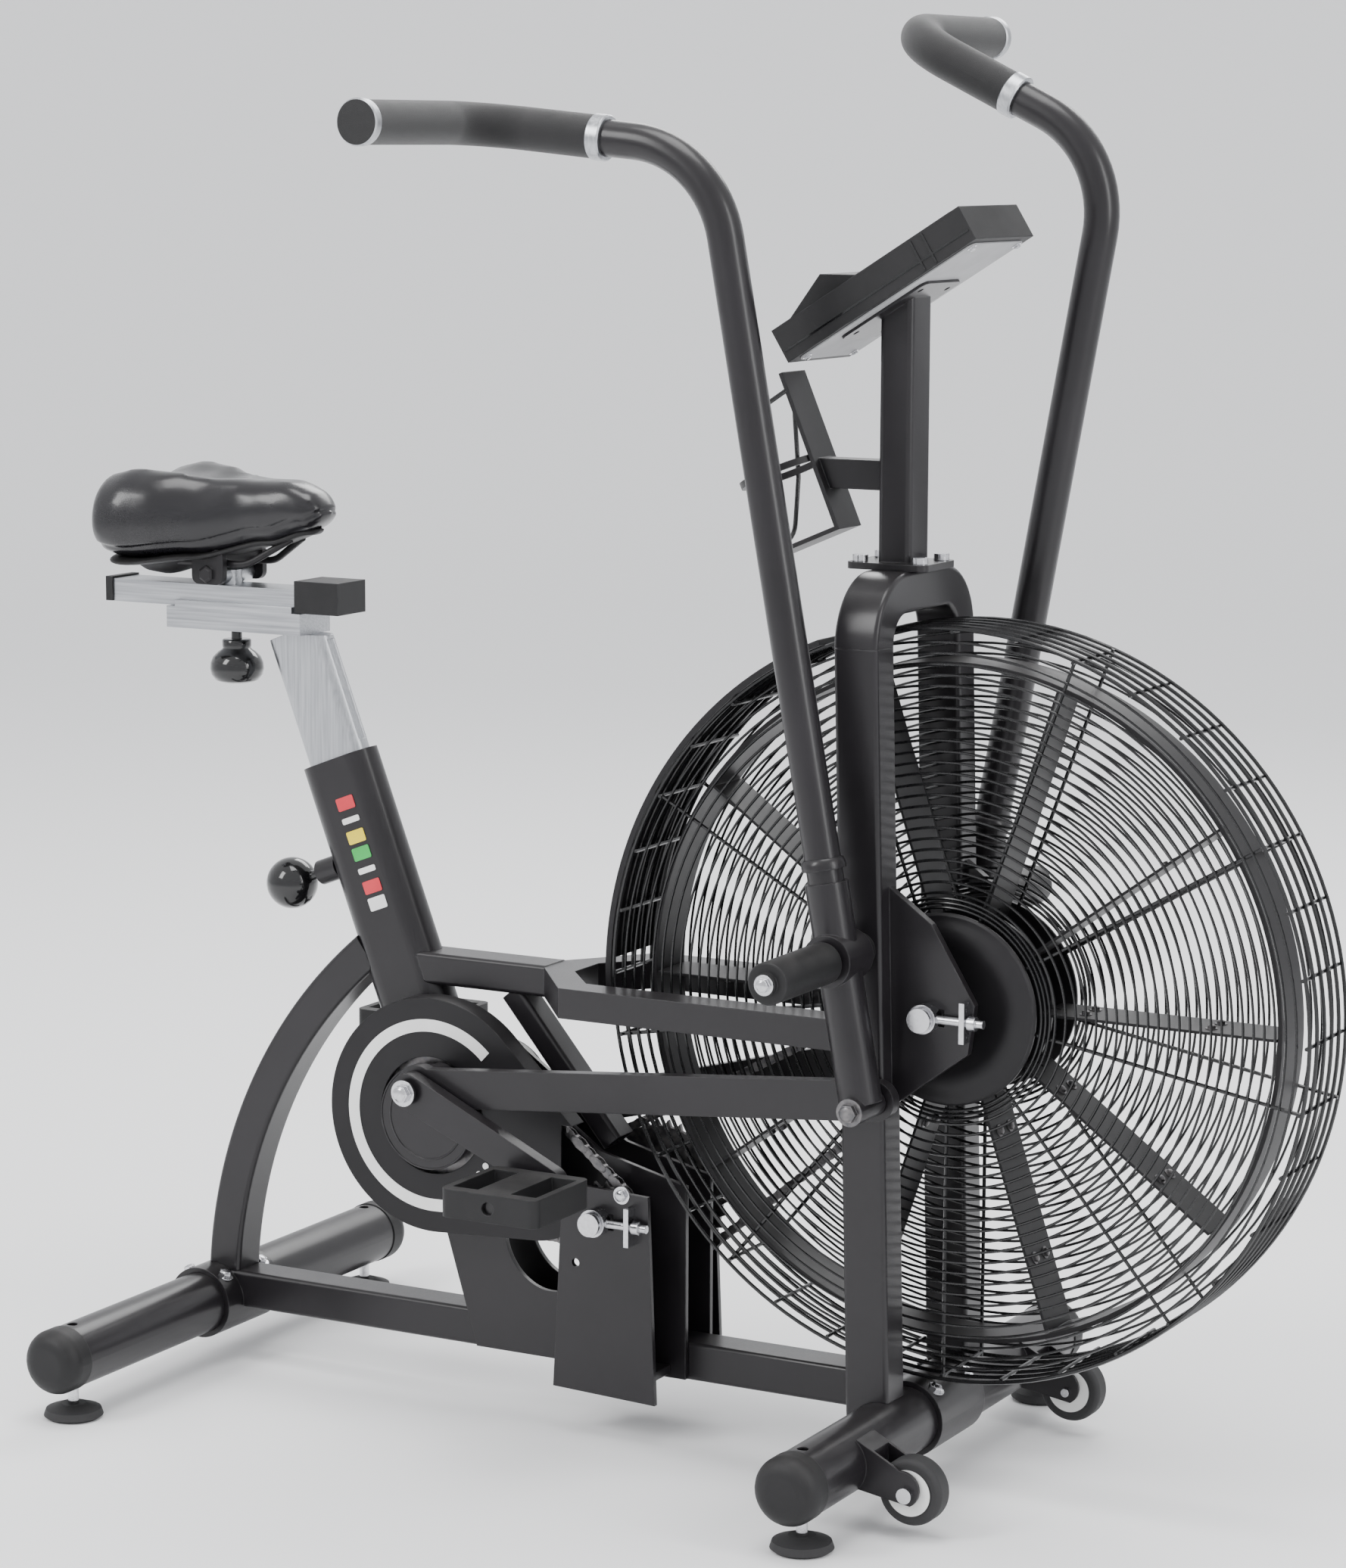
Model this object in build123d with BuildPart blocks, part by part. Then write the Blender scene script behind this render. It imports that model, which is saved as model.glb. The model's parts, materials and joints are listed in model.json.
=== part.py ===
from build123d import *
import os
from math import acos, asin, atan2, cos, degrees, hypot, pi, radians, sin, tan

os.makedirs("parts", exist_ok=True)

# Air bike. +X is forward, +Y is the rider's left, +Z is up. The origin is on the floor,
# under the middle of the machine. Millimetres.

# ---- driving dimensions ----
stabilizer_dia = 60
stabilizer_z = 60
front_foot_x = 256.5
rear_foot_x = -513.5
stabilizer_half = 262
cap_length = 30
foot_pad_y = 251

base_tube_w = 40
base_tube_h = 36
base_tube_z = 72

leg_y = 83
leg_w = 42
leg_t = 36
leg_foot_x = 245
leg_rake = radians(1.6)
crown_z = 802
crown_bend = 44

fan_x = 289.5
fan_z = 438
cage_r = 338
cage_half = 45
fan_r = 305
fan_half = 26
blade_count = 10
cage_spokes = 9

crank_x = -232.5
crank_z = 285
eccentric = 42
eccentric_angle = 66
crank_length = 170
pedal_angle = -10

jack_x = -49.5
jack_z = 208

lever_pivot_z = 495
lever_pivot_x = leg_foot_x - lever_pivot_z * tan(leg_rake)
lever_y = 142
lever_drop = 132
lever_lean = 10.5

chain_pitch = 12.7
crank_teeth = 44
jack_small_teeth = 16
jack_large_teeth = 34
fan_teeth = 14
right_chain_y = -50
left_chain_y = 55

seat_lean = 20.9
seat_tube_foot = (-303.5, 425)
seat_tube_length = 194
seat_drop = 80
pin_distance = 96
rail_z = 745
saddle_z = 800
slack = 0.3
fit = 0.05

parts = []


def keep(piece, label):
    """Label one finished piece and write its STEP file."""
    piece.label = label
    parts.append(piece)
    export_step(piece, f"parts/{label}.step")


def pitch_radius(teeth):
    return chain_pitch / (2 * sin(pi / teeth))


def across(x, z, y=0):
    """A plane facing the rider's right (-Y), with local x forward and local y up."""
    return Plane(origin=(x, y, z), x_dir=(1, 0, 0), z_dir=(0, -1, 0))


def disc(x, z, y_low, y_high, radius, bore=0.0):
    """A round plate or sleeve whose axis runs across the machine."""
    with BuildPart() as piece:
        with BuildSketch(across(x, z, y_high)):
            Circle(radius)
            if bore > 0:
                Circle(bore, mode=Mode.SUBTRACT)
        extrude(amount=y_high - y_low)
    return piece.part


def upright(x, y, z_low, z_high, radius, bore=0.0):
    """A round plate or pin whose axis is vertical."""
    with BuildPart() as piece:
        with BuildSketch(Plane.XY.offset(z_low)):
            with Locations((x, y)):
                Circle(radius)
                if bore > 0:
                    Circle(bore, mode=Mode.SUBTRACT)
        extrude(amount=z_high - z_low)
    return piece.part


def block(x, y, z):
    """A box given by its (low, high) pair on each axis."""
    with BuildPart() as piece:
        with Locations(((x[0] + x[1]) / 2, (y[0] + y[1]) / 2, (z[0] + z[1]) / 2)):
            Box(x[1] - x[0], y[1] - y[0], z[1] - z[0])
    return piece.part


def tube_between(start, end, width, depth, wall, corner=4.0):
    """A straight box tube, solid if wall is 0: width is across the machine, depth in the XZ plane."""
    run = Vector(*end) - Vector(*start)
    with BuildPart() as piece:
        with BuildSketch(Plane(origin=start, x_dir=(0, 1, 0), z_dir=run)):
            RectangleRounded(width, depth, corner)
            if wall > 0:
                RectangleRounded(width - 2 * wall, depth - 2 * wall, corner - wall + 0.5, mode=Mode.SUBTRACT)
        extrude(amount=run.length)
    return piece.part


def joined(*pieces):
    """One node made of several solids."""
    return Compound(children=list(pieces))


def fused(*pieces):
    """One welded solid."""
    with BuildPart() as result:
        for piece in pieces:
            add(piece)
    return result.part


def both_sides(piece):
    return joined(piece, piece.mirror(Plane.XZ))


def less(piece, *cutters):
    """A piece coped by its neighbours."""
    with BuildPart() as result:
        add(piece)
        for cutter in cutters:
            add(cutter, mode=Mode.SUBTRACT)
    return result.part


def leg_x(z):
    return leg_foot_x - z * tan(leg_rake)


# ---- stabilizers, feet and transport wheels ----
def stabilizer(x):
    with BuildPart() as tube:
        with BuildSketch(across(x, stabilizer_z, stabilizer_half)):
            Circle(stabilizer_dia / 2)
            Circle(stabilizer_dia / 2 - 2.5, mode=Mode.SUBTRACT)
        extrude(amount=2 * stabilizer_half)
        with Locations((x, foot_pad_y, stabilizer_z), (x, -foot_pad_y, stabilizer_z)):
            Cylinder(5.05, stabilizer_dia + 2, mode=Mode.SUBTRACT)
    return tube.part


def end_caps(x):
    with BuildPart() as cap:
        with BuildSketch(across(x, stabilizer_z, -stabilizer_half)):
            Circle(stabilizer_dia / 2 + 1)
        extrude(amount=cap_length)
        fillet(cap.edges().group_by(Axis.Y)[0], 16)
    return [cap.part, cap.part.mirror(Plane.XZ)]


def levelling_foot(x, y, label):
    with BuildPart() as foot:
        with BuildSketch(Plane.XZ.offset(-y)):
            with BuildLine():
                Polyline((x, 0), (x + 24, 0), (x + 28, 3), (x + 26, 9), (x + 12, 14), (x + 5, 14))
                Polyline((x + 5, 14), (x + 5, 48), (x, 48), (x, 0))
            make_face()
        revolve(axis=Axis((x, y, 0), (0, 0, 1)))
    keep(foot.part, label)


keep(stabilizer(rear_foot_x), "rear_stabilizer")
keep(joined(*end_caps(front_foot_x), *end_caps(rear_foot_x)), "stabilizer_end_caps")
for foot_x, end in ((front_foot_x, "front"), (rear_foot_x, "rear")):
    for side, hand in ((-1, "right"), (1, "left")):
        levelling_foot(foot_x, side * foot_pad_y, f"levelling_foot_{end}_{hand}")

wheel_x = front_foot_x + 68
wheel_y = 172
wheel_z = 42
wheel_r = 30
wheel_brackets = []
frame_bolts = []
for side, hand in ((-1, "right"), (1, "left")):
    centre = side * wheel_y
    with BuildPart() as bracket:
        with BuildSketch(across(0, 0, centre + 17)):
            with BuildLine():
                Polyline((front_foot_x + 20, 40), (front_foot_x + 20, 84), (wheel_x - 6, 62))
                ThreePointArc((wheel_x - 6, 62), (wheel_x + 12, wheel_z + 6), (wheel_x + 4, wheel_z - 10))
                Line((wheel_x + 4, wheel_z - 10), (front_foot_x + 20, 40))
            make_face()
        extrude(amount=34)
        with Locations((wheel_x + 4, centre, wheel_z)):
            Box(2 * wheel_r + 12, 28, 90, mode=Mode.SUBTRACT)
        with Locations(Location((wheel_x, centre, wheel_z), (90, 0, 0))):
            Cylinder(4, 40, mode=Mode.SUBTRACT)
    tube_round = disc(front_foot_x, stabilizer_z, centre - 20, centre + 20, stabilizer_dia / 2)
    wheel_brackets.append(less(bracket.part, tube_round))
    with BuildPart() as tyre:
        with BuildSketch(across(wheel_x, wheel_z, centre + 11)):
            Circle(wheel_r)
            Circle(wheel_r - 9, mode=Mode.SUBTRACT)
        extrude(amount=22)
        fillet(tyre.edges().filter_by(GeomType.CIRCLE).group_by(SortBy.RADIUS)[-1], 5)
    core = disc(wheel_x, wheel_z, centre - 12, centre + 12, wheel_r - 9, 4 + fit)
    keep(joined(tyre.part, core), f"transport_wheel_{hand}")
    head = sorted((centre + side * 17, centre + side * 22))
    with BuildPart() as axle:
        add(disc(wheel_x, wheel_z, centre - 21, centre + 21, 4))
        add(disc(wheel_x, wheel_z, head[0], head[1], 7))
    frame_bolts.append(axle.part)
keep(fused(stabilizer(front_foot_x), *wheel_brackets), "front_stabilizer")

# ---- base frame ----
front_tube = disc(front_foot_x, stabilizer_z, -110, 110, stabilizer_dia / 2)
rear_tube = disc(rear_foot_x, stabilizer_z, -90, 90, stabilizer_dia / 2)
base_envelope = block((-600, 400), (-20, 20), (54, 90))
with BuildPart() as base_tube:
    add(tube_between((rear_foot_x, 0, base_tube_z), (front_foot_x, 0, base_tube_z), base_tube_w, base_tube_h, 2.5))
    for cradle_x in (rear_foot_x, front_foot_x):
        add(disc(cradle_x, stabilizer_z, -45, 45, stabilizer_dia / 2 + 5))
        add(disc(cradle_x, stabilizer_z, -45, 45, stabilizer_dia / 2), mode=Mode.SUBTRACT)
keep(base_tube.part, "base_tube")

with BuildPart() as rear_arc_tube:
    with BuildLine():
        ThreePointArc((-503.5, 0, 70), (-472.5, 0, 230), (-334, 0, 424))
    with BuildSketch(Plane(origin=(-503.5, 0, 70), x_dir=(0, 1, 0), z_dir=(0.068, 0, 0.998))):
        RectangleRounded(38, 36, 4)
    sweep()

seat_axis = Vector(-sin(radians(seat_lean)), 0, cos(radians(seat_lean)))
seat_square = Vector(cos(radians(seat_lean)), 0, sin(radians(seat_lean)))


def along_seat(distance):
    """A point on the seat tube's axis, measured up from its foot."""
    return (
        seat_tube_foot[0] + seat_axis.X * distance,
        0,
        seat_tube_foot[1] + seat_axis.Z * distance,
    )


def oval_bar(start, length, depth, width, hole=None):
    """A flat-oval bar along the seat axis; depth is fore and aft."""
    with BuildPart() as bar:
        with BuildSketch(Plane(origin=along_seat(start), x_dir=seat_square, z_dir=seat_axis)):
            SlotOverall(depth, width)
            if hole:
                SlotOverall(hole[0], hole[1], mode=Mode.SUBTRACT)
        extrude(amount=length)
    return bar.part


shell_envelope = disc(crank_x, crank_z, -34, 34, 30)
seat_foot_run = 108
seat_tube_raw = oval_bar(-seat_foot_run, seat_foot_run + seat_tube_length, 80, 42, (75, 37))
pin_out = -seat_square
pin_root = Vector(*along_seat(pin_distance))


def pin_stage(start, length, radius):
    """One cylinder of the pull pin, measured out from the seat tube's axis."""
    with BuildPart() as stage:
        with BuildSketch(Plane(origin=pin_root + pin_out * start, x_dir=(0, 1, 0), z_dir=pin_out)):
            Circle(radius)
        extrude(amount=length)
    return stage.part


seat_collar = oval_bar(seat_tube_length - 30, 30, 76, 38, (67, 29))
with BuildPart() as seat_tube:
    add(seat_tube_raw)
    add(shell_envelope, mode=Mode.SUBTRACT)
    add(seat_collar)
    add(pin_stage(38.5, 23, 12))
    add(pin_stage(30, 40, 5), mode=Mode.SUBTRACT)
keep(seat_tube.part, "seat_tube")
seat_envelope = oval_bar(-seat_foot_run - 20, seat_foot_run + seat_tube_length, 80, 42)

rear_cradle_envelope = disc(rear_foot_x, stabilizer_z, -45, 45, stabilizer_dia / 2 + 5)
arc_tube = less(rear_arc_tube.part, seat_envelope, rear_cradle_envelope, base_envelope)
keep(arc_tube, "rear_arc_tube")

# ---- fork, crown and mast ----
crown_side_z = crown_z - crown_bend
front_cradle = disc(front_foot_x, stabilizer_z, -45, 45, stabilizer_dia / 2 + 5)


def leg_bar(side, z_low, z_high, wall):
    low = (leg_x(z_low), side * leg_y, z_low)
    high = (leg_x(z_high), side * leg_y, z_high)
    return tube_between(low, high, leg_t, leg_w, wall)


for side, hand in ((-1, "right"), (1, "left")):
    drop_low, drop_high = sorted((side * 75, side * 83))
    with BuildPart() as leg:
        with BuildSketch(across(0, 0, drop_high)):
            with BuildLine():
                Polyline((236, 350), (250, 350), (328, 408), (334, 452), (292, 520), (236, 560), close=True)
            make_face()
        extrude(amount=drop_high - drop_low)
        with Locations((fan_x + 4, side * leg_y, fan_z)):
            Box(24, 20, 15.2, mode=Mode.SUBTRACT)
        add(leg_bar(side, 72, crown_side_z, 0), mode=Mode.SUBTRACT)
        add(leg_bar(side, 72, crown_side_z, 2.5))
        add(front_tube, mode=Mode.SUBTRACT)
        add(block((0, 400), (-120, 120), (crown_side_z, 900)), mode=Mode.SUBTRACT)
        add(disc(lever_pivot_x, lever_pivot_z, -200, 200, 10), mode=Mode.SUBTRACT)
    keep(leg.part, f"fork_leg_{hand}")

crown_x = leg_x(crown_side_z)
bend_y = leg_y - crown_bend
bend_mid = crown_bend * (1 - cos(pi / 4))
bend_rise = crown_bend * sin(pi / 4)
with BuildPart() as crown:
    with BuildLine():
        ThreePointArc(
            (crown_x, -leg_y, crown_side_z),
            (crown_x, -leg_y + bend_mid, crown_side_z + bend_rise),
            (crown_x, -bend_y, crown_z),
        )
        Line((crown_x, -bend_y, crown_z), (crown_x, bend_y, crown_z))
        ThreePointArc(
            (crown_x, bend_y, crown_z),
            (crown_x, leg_y - bend_mid, crown_side_z + bend_rise),
            (crown_x, leg_y, crown_side_z),
        )
    with BuildSketch(Plane.XY.offset(crown_side_z)):
        with Locations((crown_x, -leg_y)):
            RectangleRounded(leg_w, leg_t, 4)
    sweep()
keep(crown.part, "fork_crown")

crown_top = crown_z + leg_t / 2
mast_x = 220.5
mast_top = 1070
with BuildPart() as mast:
    with BuildSketch(Plane.XY.offset(crown_top)):
        with Locations((mast_x - 2, 0)):
            RectangleRounded(78, 66, 8)
    extrude(amount=6)
    with BuildSketch(Plane.XY.offset(crown_top + 6)):
        with Locations((mast_x, 0)):
            RectangleRounded(32, 40, 5)
            RectangleRounded(28, 36, 3, mode=Mode.SUBTRACT)
    extrude(amount=mast_top - crown_top - 6)
mast_part = mast.part
for bolt_x in (mast_x - 31, mast_x + 27):
    for bolt_y in (-22, 22):
        frame_bolts.append(upright(bolt_x, bolt_y, crown_top + 6, crown_top + 12, 7))
keep(joined(*frame_bolts), "frame_bolts")

# ---- top beam, which splits into two arms that pass the fan cage ----
beam_z = 415
split_x = -135
arm_end = leg_x(beam_z) - leg_w / 2 + 1
with BuildPart() as beam:
    add(tube_between((-300, 0, beam_z), (split_x, 0, beam_z), 40, 30, 2.5))
    add(seat_envelope, mode=Mode.SUBTRACT)
    with BuildSketch(Plane.XY.offset(beam_z - 14)):
        with BuildLine():
            Polyline((split_x, -20), (split_x, 20), (split_x + 60, 97), (arm_end, 97), (arm_end, 67))
            Polyline((arm_end, 67), (split_x + 72, 67), (split_x + 34, 22), (split_x + 34, -22))
            Polyline((split_x + 34, -22), (split_x + 72, -67), (arm_end, -67), (arm_end, -97))
            Polyline((arm_end, -97), (split_x + 60, -97), (split_x, -20))
        make_face()
    extrude(amount=28)
    for side in (-1, 1):
        add(leg_bar(side, 300, 520, 0), mode=Mode.SUBTRACT)
keep(beam.part, "top_beam")

# ---- crank housing ----
plate_low, plate_high = 21.3, 26.3
with BuildPart() as housing:
    add(disc(crank_x, crank_z, -34, 34, 30))
    for side in (-1, 1):
        low, high = sorted((side * plate_low, side * plate_high))
        with BuildSketch(across(0, 0, high)):
            with BuildLine():
                Polyline((-278, 330), (-258, 226), (-206, 56), (20, 56), (20, 240), (-70, 262))
                Polyline((-70, 262), (-190, 345), (-278, 330))
            make_face()
            with Locations((-128, 172)):
                Ellipse(46, 52, rotation=20, mode=Mode.SUBTRACT)
        extrude(amount=high - low)
    add(disc(crank_x, crank_z, -40, 40, 21), mode=Mode.SUBTRACT)
    add(disc(jack_x, jack_z, -80, 80, 13), mode=Mode.SUBTRACT)
keep(housing.part, "crank_housing")
bearing = disc(crank_x, crank_z, 22, 34, 21, 8.5 + fit)
keep(both_sides(bearing), "crank_bearings")

brace = tube_between((-176, 0, 400), (-66, 0, 268), 30, 22, 2)
keep(less(brace, block((-400, -60), (-30, 30), (400, 460)), seat_envelope), "diagonal_brace")

# ---- tension plates, fixed axles and draw bolts ----
plates = []
for side in (-1, 1):
    low, high = sorted((side * 62, side * 67))
    foot_low, foot_high = sorted((side * 26.3, side * 62))
    with BuildPart() as plate:
        with BuildSketch(across(0, 0, high)):
            with BuildLine():
                Polyline((-98, 44), (10, 40), (2, 236), (-88, 240), close=True)
            make_face()
        extrude(amount=high - low)
        with Locations((jack_x + 4, side * 64.5, jack_z)):
            Box(24, 20, 15.2, mode=Mode.SUBTRACT)
        with Locations(Location((-74, side * 64.5, 165), (90, 0, 0))):
            Cylinder(4, 30, mode=Mode.SUBTRACT)
        add(block((-90, 4), (foot_low, foot_high), (60, 68)))
    plates.append(plate.part)
keep(joined(*plates), "tension_plates")


def draw_bolt(x, z, side, y_face, reach):
    """An eye round the axle, a threaded rod, and a bar with its nut."""
    low, high = sorted((side * y_face, side * (y_face + 13.2)))
    middle = (low + high) / 2
    with BuildPart() as piece:
        add(disc(x, z, low, high, 13, 7.5))
        with Locations(Location((x + 12.4 + reach / 2, middle, z), (0, 90, 0))):
            Cylinder(3.9, reach)
        with Locations((x + reach - 6, middle, z)):
            Box(5, 13, 36)
        with Locations(Location((x + reach + 2, middle, z), (0, 90, 0))):
            Cylinder(6.5, 7)
    return piece.part


draw_bolts = []
for side in (-1, 1):
    draw_bolts.append(draw_bolt(jack_x, jack_z, side, 67, 42))
    draw_bolts.append(draw_bolt(fan_x, fan_z, side, 83, 44))
keep(joined(*draw_bolts), "chain_tensioners")


def fixed_axle(x, z, half):
    with BuildPart() as axle:
        add(disc(x, z, -half, half, 7.5))
        add(disc(x, z, half - 6.5, half, 11))
        add(disc(x, z, -half, 6.5 - half, 11))
    return axle.part


keep(joined(fixed_axle(jack_x, jack_z, 87), fixed_axle(fan_x, fan_z, 103)), "fixed_axles")


# ---- sprockets and chains ----
def sprocket(x, z, y, teeth, bore, y_hub=None, hub_r=0.0):
    """A toothed plate 4 mm thick, with an optional hub of the given Y range."""
    radius = pitch_radius(teeth)
    root = radius - 4
    with BuildPart() as piece:
        with BuildSketch(across(x, z, y + 2)):
            Circle(root)
            with PolarLocations(root - 0.5, teeth):
                Trapezoid(7.5, 6.6, 62, align=(Align.CENTER, Align.MIN), rotation=-90)
            Circle(bore, mode=Mode.SUBTRACT)
        extrude(amount=4)
        if y_hub:
            add(disc(x, z, y_hub[0], y_hub[1], hub_r, bore))
    return piece.part


def chain_loop(x1, z1, r1, x2, z2, r2, y):
    """A closed chain, as one band round two wheels with a hollow inside."""
    gap = hypot(x2 - x1, z2 - z1)
    heading = degrees(atan2(z2 - z1, x2 - x1))
    lift = degrees(asin((r1 - r2) / gap))

    def outline(grow):
        big = r1 + grow
        small = r2 + grow
        top = radians(90 - lift)
        with BuildSketch(Plane.XY) as flat:
            with BuildLine():
                a = (big * cos(top), big * sin(top))
                b = (gap + small * cos(top), small * sin(top))
                Line(a, b)
                ThreePointArc(b, (gap + small, 0), (b[0], -b[1]))
                Line((b[0], -b[1]), (a[0], -a[1]))
                ThreePointArc((a[0], -a[1]), (-big, 0), a)
            make_face()
        return flat.sketch

    with BuildPart() as band:
        with BuildSketch(Plane.XY):
            add(outline(5))
            add(outline(5 - 1.2), mode=Mode.SUBTRACT)
        extrude(amount=8, both=False)
    solid = band.part
    placed = Plane(origin=(x1, y + 4, z1), x_dir=(cos(radians(heading)), 0, sin(radians(heading))), z_dir=(0, -1, 0))
    return solid.moved(placed.location)


keep(sprocket(crank_x, crank_z, right_chain_y, crank_teeth, 8.5, (-59.5, -40), 22), "crank_sprocket")
with BuildPart() as jack_rotor:
    add(sprocket(jack_x, jack_z, right_chain_y, jack_small_teeth, 7.5 + fit, (-53, -28), 18))
    add(sprocket(jack_x, jack_z, left_chain_y, jack_large_teeth, 7.5 + fit, (28, 58), 18))
    add(disc(jack_x, jack_z, -28, 28, 12, 7.5 + fit))
keep(jack_rotor.part, "jackshaft_sprockets")
keep(sprocket(fan_x, fan_z, left_chain_y, fan_teeth, 7.5 + fit, (51, 60), 18), "fan_sprocket")
crank_chain = chain_loop(
    crank_x, crank_z, pitch_radius(crank_teeth), jack_x, jack_z, pitch_radius(jack_small_teeth), right_chain_y
)
fan_chain = chain_loop(
    jack_x, jack_z, pitch_radius(jack_large_teeth), fan_x, fan_z, pitch_radius(fan_teeth), left_chain_y
)
keep(joined(crank_chain, fan_chain), "drive_chains")

# ---- chain guard ----
guard_nose_x = crank_x + 111
guard_nose_z = crank_z - 42


def teardrop(big, small):
    """The guard's outline: a circle round the crank, tapering to a smaller one in front."""
    gap = hypot(guard_nose_x - crank_x, guard_nose_z - crank_z)
    heading = atan2(guard_nose_z - crank_z, guard_nose_x - crank_x)
    lift = asin((big - small) / gap)
    top = heading + pi / 2 - lift
    bottom = heading - pi / 2 + lift
    rear = heading + pi
    points = []
    for x, z, r, angle in (
        (crank_x, crank_z, big, top),
        (guard_nose_x, guard_nose_z, small, top),
        (guard_nose_x, guard_nose_z, small, heading),
        (guard_nose_x, guard_nose_z, small, bottom),
        (crank_x, crank_z, big, bottom),
        (crank_x, crank_z, big, rear),
    ):
        points.append((x + r * cos(angle), z + r * sin(angle)))
    with BuildSketch(Plane.XY) as flat:
        with BuildLine():
            Line(points[0], points[1])
            ThreePointArc(points[1], points[2], points[3])
            Line(points[3], points[4])
            ThreePointArc(points[4], points[5], points[0])
        make_face()
    return flat.sketch


with BuildPart() as chain_guard:
    with BuildSketch(Plane.XY):
        add(teardrop(112, 64))
    extrude(amount=22)
    with BuildSketch(Plane.XY):
        add(teardrop(110, 62))
    extrude(amount=20, mode=Mode.SUBTRACT)
    with BuildSketch(Plane.XY.offset(18)):
        with Locations((crank_x, crank_z)):
            Circle(56)
    extrude(amount=10, mode=Mode.SUBTRACT)
    with BuildSketch(Plane.XY.offset(-1)):
        with Locations((-57, 211)):
            Rectangle(70, 162)
    extrude(amount=30, mode=Mode.SUBTRACT)
    with BuildSketch(Plane.XY.offset(-1)):
        with Locations((-125, 172)):
            Rectangle(62, 24)
    extrude(amount=21, mode=Mode.SUBTRACT)
    with BuildSketch(Plane.XY):
        with Locations((crank_x - 100, crank_z - 30), (crank_x - 48, crank_z + 94)):
            Rectangle(8, 8)
    extrude(amount=20)
guard_plane = Plane(origin=(0, -41, 0), x_dir=(1, 0, 0), z_dir=(0, -1, 0))
keep(chain_guard.part.moved(guard_plane.location), "chain_guard")


# ---- cranks, pedals and connecting rods ----
def turned(radius, angle):
    return crank_x + radius * cos(radians(angle)), crank_z + radius * sin(radians(angle))


rod_low, rod_high = 104, 116
arm_low, arm_high = 119, 133
pedal_low, pedal_high = 142, 238


def crank(side):
    phase = 0 if side < 0 else 180
    pin_x, pin_z = turned(eccentric, eccentric_angle + phase)
    tip_x, tip_z = turned(crank_length, pedal_angle + phase)

    def slab(x, z, a, b, radius):
        low, high = sorted((side * a, side * b))
        return disc(x, z, low, high, radius)

    with BuildPart() as piece:
        add(slab(crank_x, crank_z, 62, 72, 50))
        add(slab(pin_x, pin_z, 72, 100, 16))
        add(slab(pin_x, pin_z, 100, arm_low, 10))
        low, high = sorted((side * arm_low, side * arm_high))
        with BuildSketch(across(0, 0, high)):
            with BuildLine():
                away = atan2(tip_z - pin_z, tip_x - pin_x)
                rise = (-sin(away), cos(away))
                a = (pin_x + 17 * rise[0], pin_z + 17 * rise[1])
                b = (tip_x + 14 * rise[0], tip_z + 14 * rise[1])
                c = (tip_x - 14 * rise[0], tip_z - 14 * rise[1])
                d = (pin_x - 17 * rise[0], pin_z - 17 * rise[1])
                Line(a, b)
                ThreePointArc(b, (tip_x + 14 * cos(away), tip_z + 14 * sin(away)), c)
                Line(c, d)
                ThreePointArc(d, (pin_x - 17 * cos(away), pin_z - 17 * sin(away)), a)
            make_face()
        extrude(amount=high - low)
        add(slab(pin_x, pin_z, arm_high, arm_high + 6, 9))
        add(slab(tip_x, tip_z, arm_high, pedal_high - 4, 6))
    return piece.part


def spindle():
    with BuildPart() as piece:
        add(disc(crank_x, crank_z, -62, 62, 8.5))
        add(disc(crank_x, crank_z, -62, -59.5, 22))
    return piece.part


def pedal(side):
    phase = 0 if side < 0 else 180
    tip_x, tip_z = turned(crank_length, pedal_angle + phase)
    low, high = sorted((side * pedal_low, side * pedal_high))
    middle = (low + high) / 2
    with BuildPart() as piece:
        with Locations((tip_x, middle, tip_z)):
            Box(100, high - low, 26)
            with Locations((-30, 0, 0), (30, 0, 0)):
                Box(26, high - low - 24, 40, mode=Mode.SUBTRACT)
        fillet(piece.edges().filter_by(Axis.Z).group_by(Axis.X)[0], 8)
        fillet(piece.edges().filter_by(Axis.Z).group_by(Axis.X)[-1], 8)
        add(disc(tip_x, tip_z, low, high, 6 + fit), mode=Mode.SUBTRACT)
    return piece.part


pivot = (lever_pivot_x, lever_pivot_z)
right_pin = turned(eccentric, eccentric_angle)
left_pin = turned(eccentric, eccentric_angle + 180)


def lever_foot(lean):
    """The lower joint of a lever that leans back by the given angle."""
    return pivot[0] + lever_drop * sin(radians(lean)), pivot[1] - lever_drop * cos(radians(lean))


right_foot = lever_foot(lever_lean)
rod_length = hypot(right_foot[0] - right_pin[0], right_foot[1] - right_pin[1])
pin_gap = hypot(pivot[0] - left_pin[0], pivot[1] - left_pin[1])
pin_slope = degrees(atan2(pivot[1] - left_pin[1], pivot[0] - left_pin[0]))
cosine = (pin_gap**2 + lever_drop**2 - rod_length**2) / (2 * pin_gap * lever_drop)
left_lean = degrees(acos(cosine)) - 90 + pin_slope
left_foot = lever_foot(left_lean)


def rod(side, start, end):
    low, high = sorted((side * rod_low, side * rod_high))
    away = atan2(end[1] - start[1], end[0] - start[0])
    middle = ((start[0] + end[0]) / 2, (start[1] + end[1]) / 2)
    with BuildPart() as piece:
        with BuildSketch(across(0, 0, high)):
            with Locations(Location((middle[0], middle[1], 0), (0, 0, degrees(away)))):
                Rectangle(rod_length, 36)
            with Locations(start):
                Circle(22)
            with Locations(end):
                Circle(18)
            with Locations(start):
                Circle(10 + fit, mode=Mode.SUBTRACT)
            with Locations(end):
                Circle(6, mode=Mode.SUBTRACT)
        extrude(amount=high - low)
    return piece.part


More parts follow.
